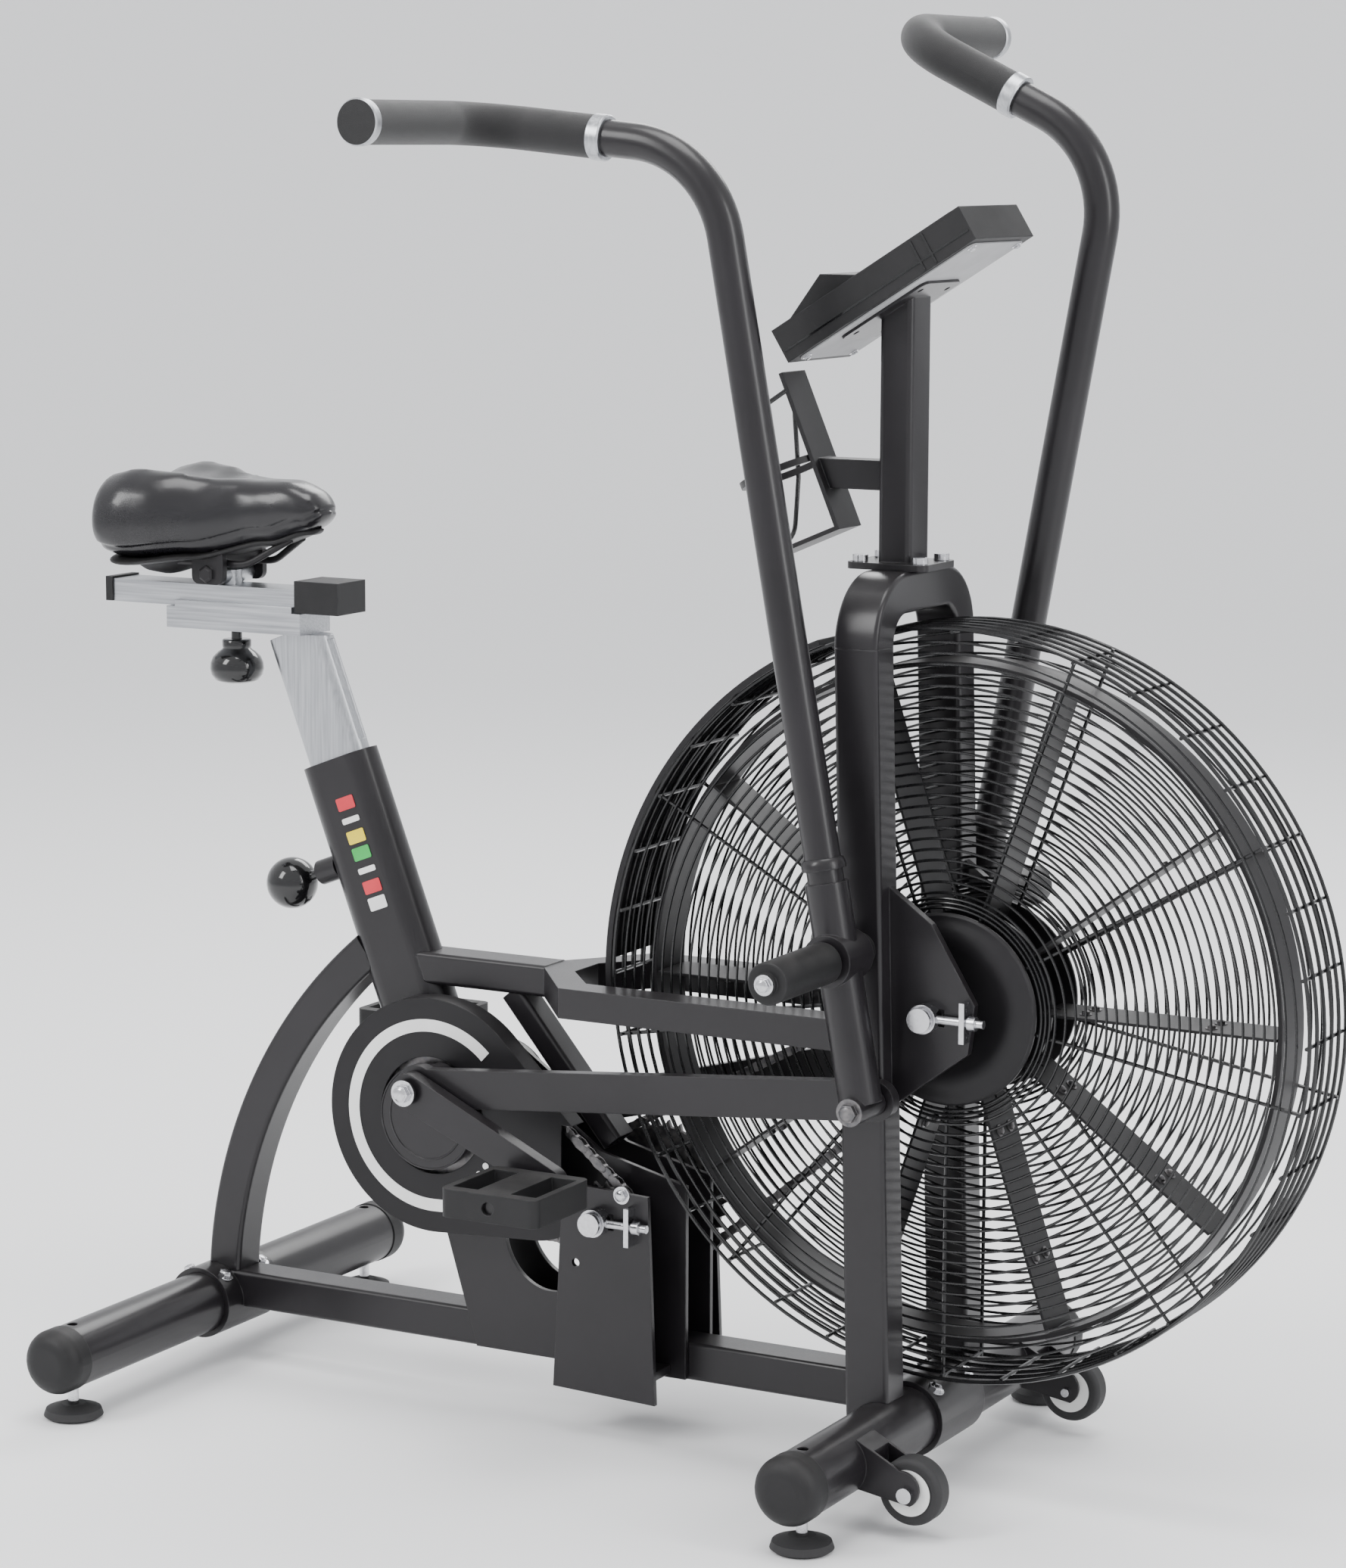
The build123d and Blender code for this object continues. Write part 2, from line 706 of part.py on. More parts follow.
keep(spindle(), "crank_spindle")
keep(crank(-1), "crank_arm_right")
keep(crank(1), "crank_arm_left")
keep(pedal(-1), "pedal_right")
keep(pedal(1), "pedal_left")
keep(rod(-1, right_pin, right_foot), "connecting_rod_right")
keep(rod(1, left_pin, left_foot), "connecting_rod_left")

# ---- handle levers ----
grip_rise = radians(16)
corner_h = 700
grip_back = 225
grip_out = 190
bar_r = 16
grip_r = 19


def handle_points():
    """The handle's corners, in the lever's own upright frame: back, outward, up from the pivot."""
    rise = tan(grip_rise)
    return (
        Vector(0, 0, -lever_drop + 8),
        Vector(0, 0, corner_h),
        Vector(-grip_back, 0, corner_h + grip_back * rise),
        Vector(-grip_back, -grip_out, corner_h + grip_back * rise),
    )


def rounded_run(points, radii):
    """Straight runs joined by tangent arcs at the inner corners."""
    start = points[0]
    for index, radius in enumerate(radii, 1):
        corner = points[index]
        into = (corner - points[index - 1]).normalized()
        out = (points[index + 1] - corner).normalized()
        half = radians(into.get_angle(out)) / 2
        cut = radius * tan(half)
        first = corner - into * cut
        last = corner + out * cut
        bisector = (out - into).normalized()
        middle = corner + bisector * (radius / cos(half) - radius)
        Line(start, first)
        ThreePointArc(first, middle, last)
        start = last
    Line(start, points[-1])


def lever_bar():
    foot, corner, turn, end = handle_points()
    with BuildPart() as piece:
        with BuildLine():
            rounded_run((foot, corner, turn, end), (100, 55))
        with BuildSketch(Plane(origin=foot, x_dir=(1, 0, 0), z_dir=(0, 0, 1))):
            Circle(bar_r)
        sweep()
        with Locations((0, 0, -lever_drop / 2 + 35)):
            Cylinder(19, lever_drop + 62)
        with Locations(Location((0, 0, 0), (90, 0, 0))):
            Cylinder(23, 46)
        with Locations(Location((0, 0, -lever_drop), (90, 0, 0))):
            Cylinder(12, 46)
        with Locations(Location((0, 0, 0), (90, 0, 0))):
            Cylinder(10 + fit, 60, mode=Mode.SUBTRACT)
    return piece.part


def lever_grip():
    foot, corner, turn, end = handle_points()
    along = (turn - corner).normalized()
    start = turn - along * 128
    with BuildPart() as piece:
        with BuildLine():
            rounded_run((start, turn, end + Vector(0, -6, 0)), (55,))
        with BuildSketch(Plane(origin=start, x_dir=(0, 1, 0), z_dir=along)):
            Circle(grip_r)
        sweep()
    return piece.part


upright_bar = lever_bar()
upright_grip = less(lever_grip(), upright_bar)


def placed(piece, side, lean):
    """Stand a lever's piece on its pivot, leaning back by the given angle."""
    moved = piece.rotate(Axis.Y, -lean)
    if side > 0:
        moved = moved.mirror(Plane.XZ)
    return moved.moved(Location((pivot[0], side * lever_y, pivot[1])))


for side, hand, lean in ((-1, "right", lever_lean), (1, "left", left_lean)):
    keep(placed(upright_bar, side, lean), f"handle_lever_{hand}")
    keep(placed(upright_grip, side, lean), f"handle_grip_{hand}")

with BuildPart() as peg:
    add(disc(pivot[0], pivot[1], -280, -(leg_y - leg_t / 2 + 2.5), 10))
    add(disc(pivot[0], pivot[1], -(lever_y - 23 - slack), -(leg_y + leg_t / 2), 16))
    add(disc(pivot[0], pivot[1], -275, -170, 18.5))
    add(disc(pivot[0], pivot[1], -170, -(lever_y + 23 + slack), 14))
    fillet(peg.edges().filter_by(GeomType.CIRCLE).group_by(SortBy.RADIUS)[-1], 2)
keep(both_sides(peg.part), "foot_pegs")

# ---- fan ----
hub_r = 82
with BuildPart() as hub:
    add(disc(fan_x, fan_z, -30, 30, 22, 7.5 + fit))
    add(disc(fan_x, fan_z, 30, 51, 14, 7.5 + fit))
    add(disc(fan_x, fan_z, -2, 2, hub_r, 7.5 + fit))
keep(hub.part, "fan_hub")
with BuildPart() as blades:
    with PolarLocations(0, blade_count):
        with Locations((190, 0, 0)):
            Box(220, 2.5, 2 * fan_half)
blades_cut = less(blades.part, Cylinder(hub_r + 8, 4.02), Cylinder(79.9, 60))
blade_ring = blades_cut.moved(Plane(origin=(fan_x, 0, fan_z), x_dir=(1, 0, 0), z_dir=(0, -1, 0)).location)
keep(blade_ring, "fan_blades")
keep(disc(fan_x, fan_z, -fan_half, fan_half, fan_r, fan_r - 4), "fan_rim")

# ---- fan cage and shroud ----
grille_t = 4
ring_step = 19


def grille_plate(y_low):
    """Concentric wires on radial wires, round a centre dish."""
    with BuildSketch(Plane.XY) as flat:
        Circle(cage_r)
        Circle(cage_r - 4, mode=Mode.SUBTRACT)
    with BuildSketch(Plane.XY) as wires:
        add(flat.sketch)
        for count in range(12):
            radius = 106 + ring_step * count
            with BuildSketch(Plane.XY, mode=Mode.PRIVATE) as ring:
                Circle(radius + 2)
                Circle(radius - 2, mode=Mode.SUBTRACT)
            add(ring.sketch)
        Circle(90)
        with PolarLocations((cage_r + 60) / 2, cage_spokes, start_angle=-90):
            Rectangle(cage_r - 62, 4)
        Circle(20, mode=Mode.SUBTRACT)
    with BuildPart() as piece:
        add(wires.sketch)
        extrude(amount=grille_t)
    place = Plane(origin=(fan_x, y_low + grille_t, fan_z), x_dir=(1, 0, 0), z_dir=(0, -1, 0))
    return piece.part.moved(place.location)


keep(grille_plate(-cage_half - grille_t), "cage_grille_right")
keep(grille_plate(cage_half), "cage_grille_left")
with BuildPart() as cage_rim:
    for y in (-30, -10, 10, 30):
        add(disc(fan_x, fan_z, y - 2, y + 2, cage_r, cage_r - 4))
    rim_bars = Plane(origin=(fan_x, 0, fan_z), x_dir=(1, 0, 0), z_dir=(0, -1, 0))
    with Locations(rim_bars):
        with PolarLocations(cage_r - 2, cage_spokes, start_angle=-90):
            Box(4, 4, 2 * cage_half)
keep(cage_rim.part, "cage_rim")
with BuildPart() as shroud:
    with BuildSketch(across(fan_x, fan_z, cage_half + 1)):
        with BuildLine():
            CenterArc((0, 0), cage_r + 6, 112, 76)
            CenterArc((0, 0), cage_r + 0.5, 112, 76)
            for angle in (112, 188):
                Line(
                    ((cage_r + 0.5) * cos(radians(angle)), (cage_r + 0.5) * sin(radians(angle))),
                    ((cage_r + 6) * cos(radians(angle)), (cage_r + 6) * sin(radians(angle))),
                )
        make_face()
    extrude(amount=2 * cage_half + 2)
keep(less(shroud.part, block((-60, 40), (-43, 43), (380, 450))), "fan_shroud")

# ---- seat post, carriage and saddle ----
post_start = seat_tube_length - 190
post_top = 322
with BuildPart() as seat_post:
    add(oval_bar(post_start, post_top - post_start, 66, 28))
    with BuildSketch(Plane(origin=along_seat(seat_tube_length + 10), x_dir=seat_square, z_dir=seat_axis)):
        with Locations((33, 0)):
            SlotOverall(14, 6, rotation=90)
    extrude(amount=100, mode=Mode.SUBTRACT)
    add(block((-600, -200), (-60, 60), (724, 900)), mode=Mode.SUBTRACT)
    with BuildSketch(Plane(origin=along_seat(post_start), x_dir=seat_square, z_dir=seat_axis)):
        with Locations((-27.5, 0)):
            Rectangle(13, 10.6)
    extrude(amount=pin_distance + seat_drop + 10 - post_start, mode=Mode.SUBTRACT)
keep(seat_post.part, "seat_post")

with BuildPart() as pull_pin:
    add(pin_stage(22, 60, 4.8))
    with Locations(Location(pin_root + pin_out * 98)):
        Sphere(25)
keep(pull_pin.part, "seat_pull_pin")

carriage_x = (-554.5, -400.5)
with BuildPart() as carriage:
    add(block(carriage_x, (-26, 26), (724, rail_z - slack)))
    for side in (-1, 1):
        cheek_low, cheek_high = sorted((side * 20.6, side * 26))
        add(block((-545, -410), (cheek_low, cheek_high), (rail_z - slack, rail_z + 6)))
    add(upright(-491, 0, 700, 760, 6 + fit), mode=Mode.SUBTRACT)
keep(carriage.part, "seat_carriage")
with BuildPart() as knob:
    add(upright(-491, 0, 700, 744, 6))
    add(upright(-491, 0, 704, 716, 11))
    add(upright(-491, 0, 672, 704, 26))
    fillet(knob.edges().filter_by(GeomType.CIRCLE).group_by(SortBy.RADIUS)[-1], 4)
keep(knob.part, "carriage_knob")

rail_x = (-629.5, -400)
post_x = -498.5
with BuildPart() as rail:
    add(block((rail_x[0] + 8, rail_x[1] - 8), (-20, 20), (rail_z, rail_z + 22)))
    add(upright(post_x, 0, rail_z + 22, rail_z + 36, 12))
    with Locations(Location((post_x, 0, rail_z + 31), (90, 0, 0))):
        Cylinder(9, 60)
keep(rail.part, "saddle_rail")
rear_cap = block((rail_x[0], rail_x[0] + 8), (-22, 22), (rail_z + slack, rail_z + 24))
front_cap = block((rail_x[1] - 8, -358.5), (-24, 24), (rail_z + slack, rail_z + 31))
keep(joined(rear_cap, front_cap), "saddle_rail_caps")

saddle_rear = -624
saddle_nose = -372
saddle_half = ((-394, 27), (-462, 46), (-532, 90), (-590, 99), (-618, 62))
with BuildPart() as saddle:
    with BuildSketch(Plane.XY.offset(saddle_z - 20)):
        with BuildLine():
            Spline(
                (saddle_nose, 0),
                *saddle_half,
                (saddle_rear, 0),
                *[(x, -y) for x, y in reversed(saddle_half)],
                periodic=True,
            )
        make_face()
    extrude(amount=110)
    with BuildSketch(across(0, 0, 110)):
        with BuildLine():
            Spline((saddle_rear - 4, 864), (-575, 885), (-505, 881), (-430, 867), (saddle_nose + 4, 850))
            Line((saddle_nose + 4, 850), (saddle_nose + 4, 826))
            Polyline((saddle_nose + 4, 826), (-440, 800), (-490, saddle_z - 14), (saddle_rear - 4, saddle_z - 14),
                     (saddle_rear - 4, 864))
        make_face()
    extrude(amount=220, mode=Mode.INTERSECT)
keep(saddle.part, "saddle")

# ---- console, its buttons and the bottle holder ----
console_y = 60
console_low = (136, 1000)
console_high = (314, 1110)
console_rise = atan2(console_high[1] - console_low[1], console_high[0] - console_low[0])
console_depth = 32
back_x = -console_depth * sin(console_rise)
back_z = console_depth * cos(console_rise)
hood_low = (127, 1032)
hood_high = (160, 1077)
hood_length = hypot(hood_high[0] - hood_low[0], hood_high[1] - hood_low[1])
hood_out = Vector(-(hood_high[1] - hood_low[1]) / hood_length, 0, (hood_high[0] - hood_low[0]) / hood_length)
button_r = 7
button_y = (-32, 0, 32)
button_names = ("mode", "start", "stop")


def hood_point(y, depth):
    """A point over the middle of the keypad face, measured outwards along its normal."""
    middle = Vector((hood_low[0] + hood_high[0]) / 2, y, (hood_low[1] + hood_high[1]) / 2)
    return middle + hood_out * depth


def key(y, start, end, radius):
    with BuildPart() as piece:
        with BuildSketch(Plane(origin=hood_point(y, start), x_dir=(0, 1, 0), z_dir=hood_out)):
            Circle(radius)
        extrude(amount=end - start)
    return piece.part


with BuildPart() as console:
    with BuildSketch(across(0, 0, console_y)):
        with BuildLine():
            Polyline(
                console_low,
                (console_low[0] + back_x, console_low[1] + back_z),
                (console_high[0] + back_x, console_high[1] + back_z),
                console_high,
                close=True,
            )
        make_face()
    extrude(amount=2 * console_y)
    with BuildSketch(across(0, 0, console_y - 12)):
        with BuildLine():
            Polyline(hood_low, hood_high, (196, 1077), (196, 1060), (140, 1020), close=True)
        make_face()
    extrude(amount=2 * console_y - 24)
    for y in button_y:
        add(key(y, -6, 20, button_r + slack), mode=Mode.SUBTRACT)
keep(console.part, "console_housing")
for y, name in zip(button_y, button_names):
    keep(key(y, -3.5, 2.5, button_r), f"console_button_{name}")

console_under = Plane(origin=(console_low[0], 0, console_low[1]), x_dir=(0, 1, 0),
                      z_dir=(-sin(console_rise), 0, cos(console_rise)))
with BuildPart() as bracket_plate:
    with BuildSketch(console_under.offset(-4)):
        with Locations((0, -92)):
            RectangleRounded(76, 96, 8)
            with GridLocations(54, 72, 2, 2):
                Circle(3, mode=Mode.SUBTRACT)
    extrude(amount=4)

bottle_lean = 23
bottle_r = 38
bottle_axis = Plane(
    origin=(165, 0, 856),
    x_dir=(-cos(radians(bottle_lean)), 0, -sin(radians(bottle_lean))),
    z_dir=(-sin(radians(bottle_lean)), 0, cos(radians(bottle_lean))),
)
with BuildPart() as holder:
    with Locations(bottle_axis):
        with Locations((0, 0, 70)):
            Box(4, 44, 148)
        with Locations((38, 0, -2)):
            Box(80, 44, 4)
        with Locations((76, 0, 5)):
            Box(4, 44, 12)
    with BuildSketch(bottle_axis.offset(62)):
        with Locations((2 + bottle_r, 0)):
            Circle(bottle_r + 4)
            Circle(bottle_r, mode=Mode.SUBTRACT)
    extrude(amount=6)
    add(block((140, 204.5), (-12, 12), (888, 914)))
    with BuildSketch(bottle_axis.offset(0)):
        with Locations((2 + bottle_r, 0)):
            Circle(bottle_r - 2)
    extrude(amount=200, mode=Mode.SUBTRACT)
keep(holder.part, "bottle_holder")

under_cut = console_under.offset(-4)
with BuildPart() as above:
    with BuildSketch(under_cut):
        with Locations((0, -92)):
            Rectangle(200, 260)
    extrude(amount=120)
keep(fused(less(mast_part, above.part), bracket_plate.part), "console_mast")
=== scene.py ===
import bpy
import bmesh
import json
from math import asin, atan2, ceil, cos, hypot, pi, radians, sin, sqrt, tan
from mathutils import Matrix, Vector


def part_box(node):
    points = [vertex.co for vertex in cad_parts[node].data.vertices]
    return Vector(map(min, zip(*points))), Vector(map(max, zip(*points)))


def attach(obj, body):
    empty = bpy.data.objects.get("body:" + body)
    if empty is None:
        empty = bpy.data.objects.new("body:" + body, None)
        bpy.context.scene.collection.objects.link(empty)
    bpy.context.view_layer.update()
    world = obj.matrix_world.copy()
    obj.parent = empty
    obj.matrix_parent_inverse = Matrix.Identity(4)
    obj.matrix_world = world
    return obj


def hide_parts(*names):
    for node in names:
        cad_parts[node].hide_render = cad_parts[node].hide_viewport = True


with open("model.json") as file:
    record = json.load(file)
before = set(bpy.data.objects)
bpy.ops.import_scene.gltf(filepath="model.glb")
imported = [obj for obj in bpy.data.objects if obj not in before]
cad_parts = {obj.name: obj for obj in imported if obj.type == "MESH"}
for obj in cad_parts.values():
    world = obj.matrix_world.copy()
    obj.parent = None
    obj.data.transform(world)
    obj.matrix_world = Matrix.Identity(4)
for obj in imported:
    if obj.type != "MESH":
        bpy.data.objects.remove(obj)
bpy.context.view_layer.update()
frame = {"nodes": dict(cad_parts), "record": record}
nodes = frame["nodes"]
slots = {row["node"]: row["material_slot"] for row in frame["record"]["subparts"]}


def middleOf(node):
    low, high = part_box(node)
    return (low + high) / 2


fanCentre = middleOf("fan_rim")
crankCentre = middleOf("crank_sprocket")
jackCentre = middleOf("jackshaft_sprockets")
print("frame loaded")

# camera, floor and light
view = {
    "place": (1.8200, -3.3326, 1.1961),
    "azimuth": 28.77,
    "pitch": 8.78,
    "roll": 0.22,
    "lens": 96.5,
    "sensor": 36,
}


def addCamera():
    a, t, roll = radians(view["azimuth"]), radians(view["pitch"]), radians(view["roll"])
    ahead = Vector((-sin(a) * cos(t), cos(a) * cos(t), -sin(t)))
    right = Vector((cos(a), sin(a), 0))
    up = right.cross(ahead)
    turnedRight = right * cos(roll) + up * sin(roll)
    turnedUp = up * cos(roll) - right * sin(roll)
    data = bpy.data.cameras.new("camera")
    data.lens = view["lens"]
    data.sensor_width = view["sensor"]
    data.clip_end = 100
    camera = bpy.data.objects.new("camera", data)
    camera.matrix_world = Matrix((turnedRight, turnedUp, -ahead)).transposed().to_4x4()
    camera.location = view["place"]
    bpy.context.scene.collection.objects.link(camera)
    bpy.context.scene.camera = camera


studio = {
    "flat": 7.0,
    "curve": 3.0,
    "wall": 4.2,
    "floorColour": (0.93, 0.93, 0.935, 1),
    "skyColour": (0.95, 0.96, 0.98, 1),
    "skyStrength": 1.25,
    # name, place, aim, width, height, power
    "lamps": (
        ("keySoftbox", (-1.8, -3.0, 3.0), (0, 0, 0.6), 1.2, 2.0, 90),
        ("sideSoftbox", (3.2, -0.6, 1.9), (0.1, 0, 0.6), 0.7, 2.4, 45),
        ("backSoftbox", (-0.6, 3.0, 2.8), (0, 0, 0.6), 2.4, 1.2, 60),
        ("topSoftbox", (0.2, -0.2, 3.6), (0, 0, 0.5), 1.6, 1.6, 60),
    ),
}


def addStudio():
    # a round floor that curves up into a low wall, so no horizon shows from any side
    flat, curve, steps = studio["flat"], studio["curve"], 96
    profile = [(flat, 0.0)]
    profile += [(flat + curve * sin(radians(a)), curve * (1 - cos(radians(a)))) for a in range(10, 91, 10)]
    profile.append((flat + curve, studio["wall"]))
    turns = [2 * pi * i / steps for i in range(steps)]
    verts = [(0, 0, 0)] + [(r * cos(a), r * sin(a), z) for r, z in profile for a in turns]
    faces = [(0, 1 + i, 1 + (i + 1) % steps) for i in range(steps)]
    for row in range(len(profile) - 1):
        a, b = 1 + row * steps, 1 + (row + 1) * steps
        faces += [(a + i, b + i, b + (i + 1) % steps, a + (i + 1) % steps) for i in range(steps)]
    mesh = bpy.data.meshes.new("floor")
    mesh.from_pydata(verts, [], faces)
    for face in mesh.polygons:
        face.use_smooth = True
    floor = bpy.data.objects.new("floor", mesh)
    bpy.context.scene.collection.objects.link(floor)
    material = bpy.data.materials.new("floorPaper")
    material.use_nodes = True
    shader = material.node_tree.nodes["Principled BSDF"]
    shader.inputs["Base Color"].default_value = studio["floorColour"]
    shader.inputs["Roughness"].default_value = 0.9
    mesh.materials.append(material)
    world = bpy.data.worlds.new("studio")
    bpy.context.scene.world = world
    world.use_nodes = True
    sky = world.node_tree.nodes["Background"]
    sky.inputs["Color"].default_value = studio["skyColour"]
    sky.inputs["Strength"].default_value = studio["skyStrength"]
    for name, place, aim, width, height, power in studio["lamps"]:
        data = bpy.data.lights.new(name, "AREA")
        data.shape = "RECTANGLE"
        data.size = width
        data.size_y = height
        data.energy = power
        lamp = bpy.data.objects.new(name, data)
        lamp.location = place
        lamp.rotation_mode = "QUATERNION"
        lamp.rotation_quaternion = (Vector(aim) - Vector(place)).to_track_quat("-Z", "Y")
        bpy.context.scene.collection.objects.link(lamp)


addCamera()
addStudio()
print("camera, floor and light placed")


# shader groups
def newGroup(name, inputs, outputs):
    group = bpy.data.node_groups.new(name, "ShaderNodeTree")
    for label, kind, value in inputs:
        socket = group.interface.new_socket(label, in_out="INPUT", socket_type=kind)
        if value is not None:
            socket.default_value = value
    for label, kind in outputs:
        group.interface.new_socket(label, in_out="OUTPUT", socket_type=kind)
    return group, group.nodes.new("NodeGroupInput"), group.nodes.new("NodeGroupOutput")


def addNode(tree, kind, values=None, **settings):
    node = tree.nodes.new(kind)
    for key, value in settings.items():
        setattr(node, key, value)
    for key, value in (values or {}).items():
        node.inputs[key].default_value = value
    return node


def noise(tree, vector, scale, detail=3.0):
    node = addNode(tree, "ShaderNodeTexNoise", {"Detail": detail})
    tree.links.new(vector, node.inputs["Vector"])
    if isinstance(scale, (int, float)):
        node.inputs["Scale"].default_value = scale
    else:
        tree.links.new(scale, node.inputs["Scale"])
    return node.outputs["Fac"]


def spread(tree, value, low, high, fromLow=0.3, fromHigh=0.7):
    node = addNode(tree, "ShaderNodeMapRange", {"From Min": fromLow, "From Max": fromHigh})
    tree.links.new(value, node.inputs["Value"])
    for key, end in (("To Min", low), ("To Max", high)):
        if isinstance(end, (int, float)):
            node.inputs[key].default_value = end
        else:
            tree.links.new(end, node.inputs[key])
    return node.outputs["Result"]


def mixColour(tree, mask, first, second, blend="MIX"):
    node = addNode(tree, "ShaderNodeMix", data_type="RGBA", blend_type=blend)
    for key, end in (("Factor", mask), ("A", first), ("B", second)):
        socket = [s for s in node.inputs if s.name == key and s.enabled][0]
        if isinstance(end, (int, float, tuple)):
            socket.default_value = end
        else:
            tree.links.new(end, socket)
    return [s for s in node.outputs if s.enabled][0]


def calc(tree, operation, first, second=None):
    node = addNode(tree, "ShaderNodeMath", operation=operation)
    for index, end in enumerate((first, second)):
        if end is None:
            continue
        if isinstance(end, (int, float)):
            node.inputs[index].default_value = end
        else:
            tree.links.new(end, node.inputs[index])
    return node.outputs[0]


vectorIn = ("Vector", "NodeSocketVector", None)
finishOut = [("Color", "NodeSocketColor"), ("Roughness", "NodeSocketFloat"), ("Height", "NodeSocketFloat")]


def coatGroup():
    # a sprayed or moulded surface: slow drift of tone, fine peel in the height
    group, src, out = newGroup(
        "sprayedSurface",
        [
            vectorIn,
            ("Tone", "NodeSocketColor", (0.02, 0.02, 0.02, 1)),
            ("Drift", "NodeSocketColor", (0.03, 0.03, 0.03, 1)),
            ("Drift Scale", "NodeSocketFloat", 14.0),
            ("Grain Scale", "NodeSocketFloat", 900.0),
            ("Rough Low", "NodeSocketFloat", 0.3),
            ("Rough High", "NodeSocketFloat", 0.42),
        ],
        finishOut,
    )
    drift = noise(group, src.outputs["Vector"], src.outputs["Drift Scale"], 4)
    grain = noise(group, src.outputs["Vector"], src.outputs["Grain Scale"], 2)
    colour = mixColour(group, spread(group, drift, 0.0, 1.0), src.outputs["Tone"], src.outputs["Drift"])
    both = calc(group, "ADD", calc(group, "MULTIPLY", drift, 0.6), calc(group, "MULTIPLY", grain, 0.4))
    rough = spread(group, both, src.outputs["Rough Low"], src.outputs["Rough High"])
    group.links.new(colour, out.inputs["Color"])
    group.links.new(rough, out.inputs["Roughness"])
    group.links.new(grain, out.inputs["Height"])
    return group


def brushGroup():
    # long drawn lines: noise squeezed across the stroke
    group, src, out = newGroup(
        "brushedLines",
        [
            vectorIn,
            ("Squeeze", "NodeSocketVector", (20.0, 900.0, 900.0)),
            ("Tone", "NodeSocketColor", (0.6, 0.6, 0.62, 1)),
            ("Line", "NodeSocketColor", (0.75, 0.75, 0.77, 1)),
            ("Rough Low", "NodeSocketFloat", 0.22),
            ("Rough High", "NodeSocketFloat", 0.38),
        ],
        finishOut,
    )
    scaled = addNode(group, "ShaderNodeVectorMath", operation="MULTIPLY")
    group.links.new(src.outputs["Vector"], scaled.inputs[0])
    group.links.new(src.outputs["Squeeze"], scaled.inputs[1])
    lines = noise(group, scaled.outputs[0], 1.0, 3)
    colour = mixColour(group, spread(group, lines, 0.0, 1.0), src.outputs["Tone"], src.outputs["Line"])
    group.links.new(colour, out.inputs["Color"])
    rough = spread(group, lines, src.outputs["Rough Low"], src.outputs["Rough High"])
    group.links.new(rough, out.inputs["Roughness"])
    group.links.new(lines, out.inputs["Height"])
    return group


def wearGroup():
    # a mask along edges, from the rounded normal against the plain one, broken up by noise
    group, src, out = newGroup(
        "rubbedEdges",
        [vectorIn, ("Reach", "NodeSocketFloat", 0.0015), ("Break Up", "NodeSocketFloat", 90.0)],
        [("Mask", "NodeSocketFloat"), ("Normal", "NodeSocketVector")],
    )
    rounded = addNode(group, "ShaderNodeBevel", samples=4)
    group.links.new(src.outputs["Reach"], rounded.inputs["Radius"])
    plain = addNode(group, "ShaderNodeNewGeometry")
    dot = addNode(group, "ShaderNodeVectorMath", operation="DOT_PRODUCT")
    group.links.new(rounded.outputs["Normal"], dot.inputs[0])
    group.links.new(plain.outputs["Normal"], dot.inputs[1])
    edge = spread(group, dot.outputs["Value"], 1.0, 0.0, 0.8, 0.995)
    patch = spread(group, noise(group, src.outputs["Vector"], src.outputs["Break Up"], 4), 0.0, 1.0, 0.42, 0.62)
    group.links.new(calc(group, "MULTIPLY", edge, patch), out.inputs["Mask"])
    group.links.new(rounded.outputs["Normal"], out.inputs["Normal"])
    return group


def dustGroup():
    # pale dust that settles on faces that look up
    group, src, out = newGroup(
        "settledDust", [vectorIn, ("Amount", "NodeSocketFloat", 0.15)], [("Mask", "NodeSocketFloat")]
    )
    plain = addNode(group, "ShaderNodeNewGeometry")
    split = addNode(group, "ShaderNodeSeparateXYZ")
    group.links.new(plain.outputs["Normal"], split.inputs[0])
    up = spread(group, split.outputs["Z"], 0.0, 1.0, 0.2, 1.0)
    patch = spread(group, noise(group, src.outputs["Vector"], 60.0, 5), 0.2, 1.0)
    amount = calc(group, "MULTIPLY", up, patch)
    group.links.new(calc(group, "MULTIPLY", amount, src.outputs["Amount"]), out.inputs["Mask"])
    return group


def pebbleGroup():
    # leather-like pebbles with fine creases between them
    group, src, out = newGroup(
        "pebbledGrain", [vectorIn, ("Pebble Scale", "NodeSocketFloat", 900.0)], [("Height", "NodeSocketFloat")]
    )
    cells = addNode(group, "ShaderNodeTexVoronoi", feature="DISTANCE_TO_EDGE")
    group.links.new(src.outputs["Vector"], cells.inputs["Vector"])
    group.links.new(src.outputs["Pebble Scale"], cells.inputs["Scale"])
    crease = spread(group, cells.outputs["Distance"], 0.0, 1.0, 0.0, 0.25)
    swell = noise(group, src.outputs["Vector"], 220.0, 3)
    mixed = calc(group, "ADD", calc(group, "MULTIPLY", crease, 0.6), calc(group, "MULTIPLY", swell, 0.7))
    group.links.new(mixed, out.inputs["Height"])
    return group


groups = {
    "coat": coatGroup(),
    "brush": brushGroup(),
    "wear": wearGroup(),
    "dust": dustGroup(),
    "pebble": pebbleGroup(),
}


# materials
def useGroup(tree, key, vector, values=None):
    node = addNode(tree, "ShaderNodeGroup", node_tree=groups[key])
    tree.links.new(vector, node.inputs["Vector"])
    for name, value in (values or {}).items():
        node.inputs[name].default_value = value
    return node


def rgb(red, green, blue):
    return (red, green, blue, 1.0)


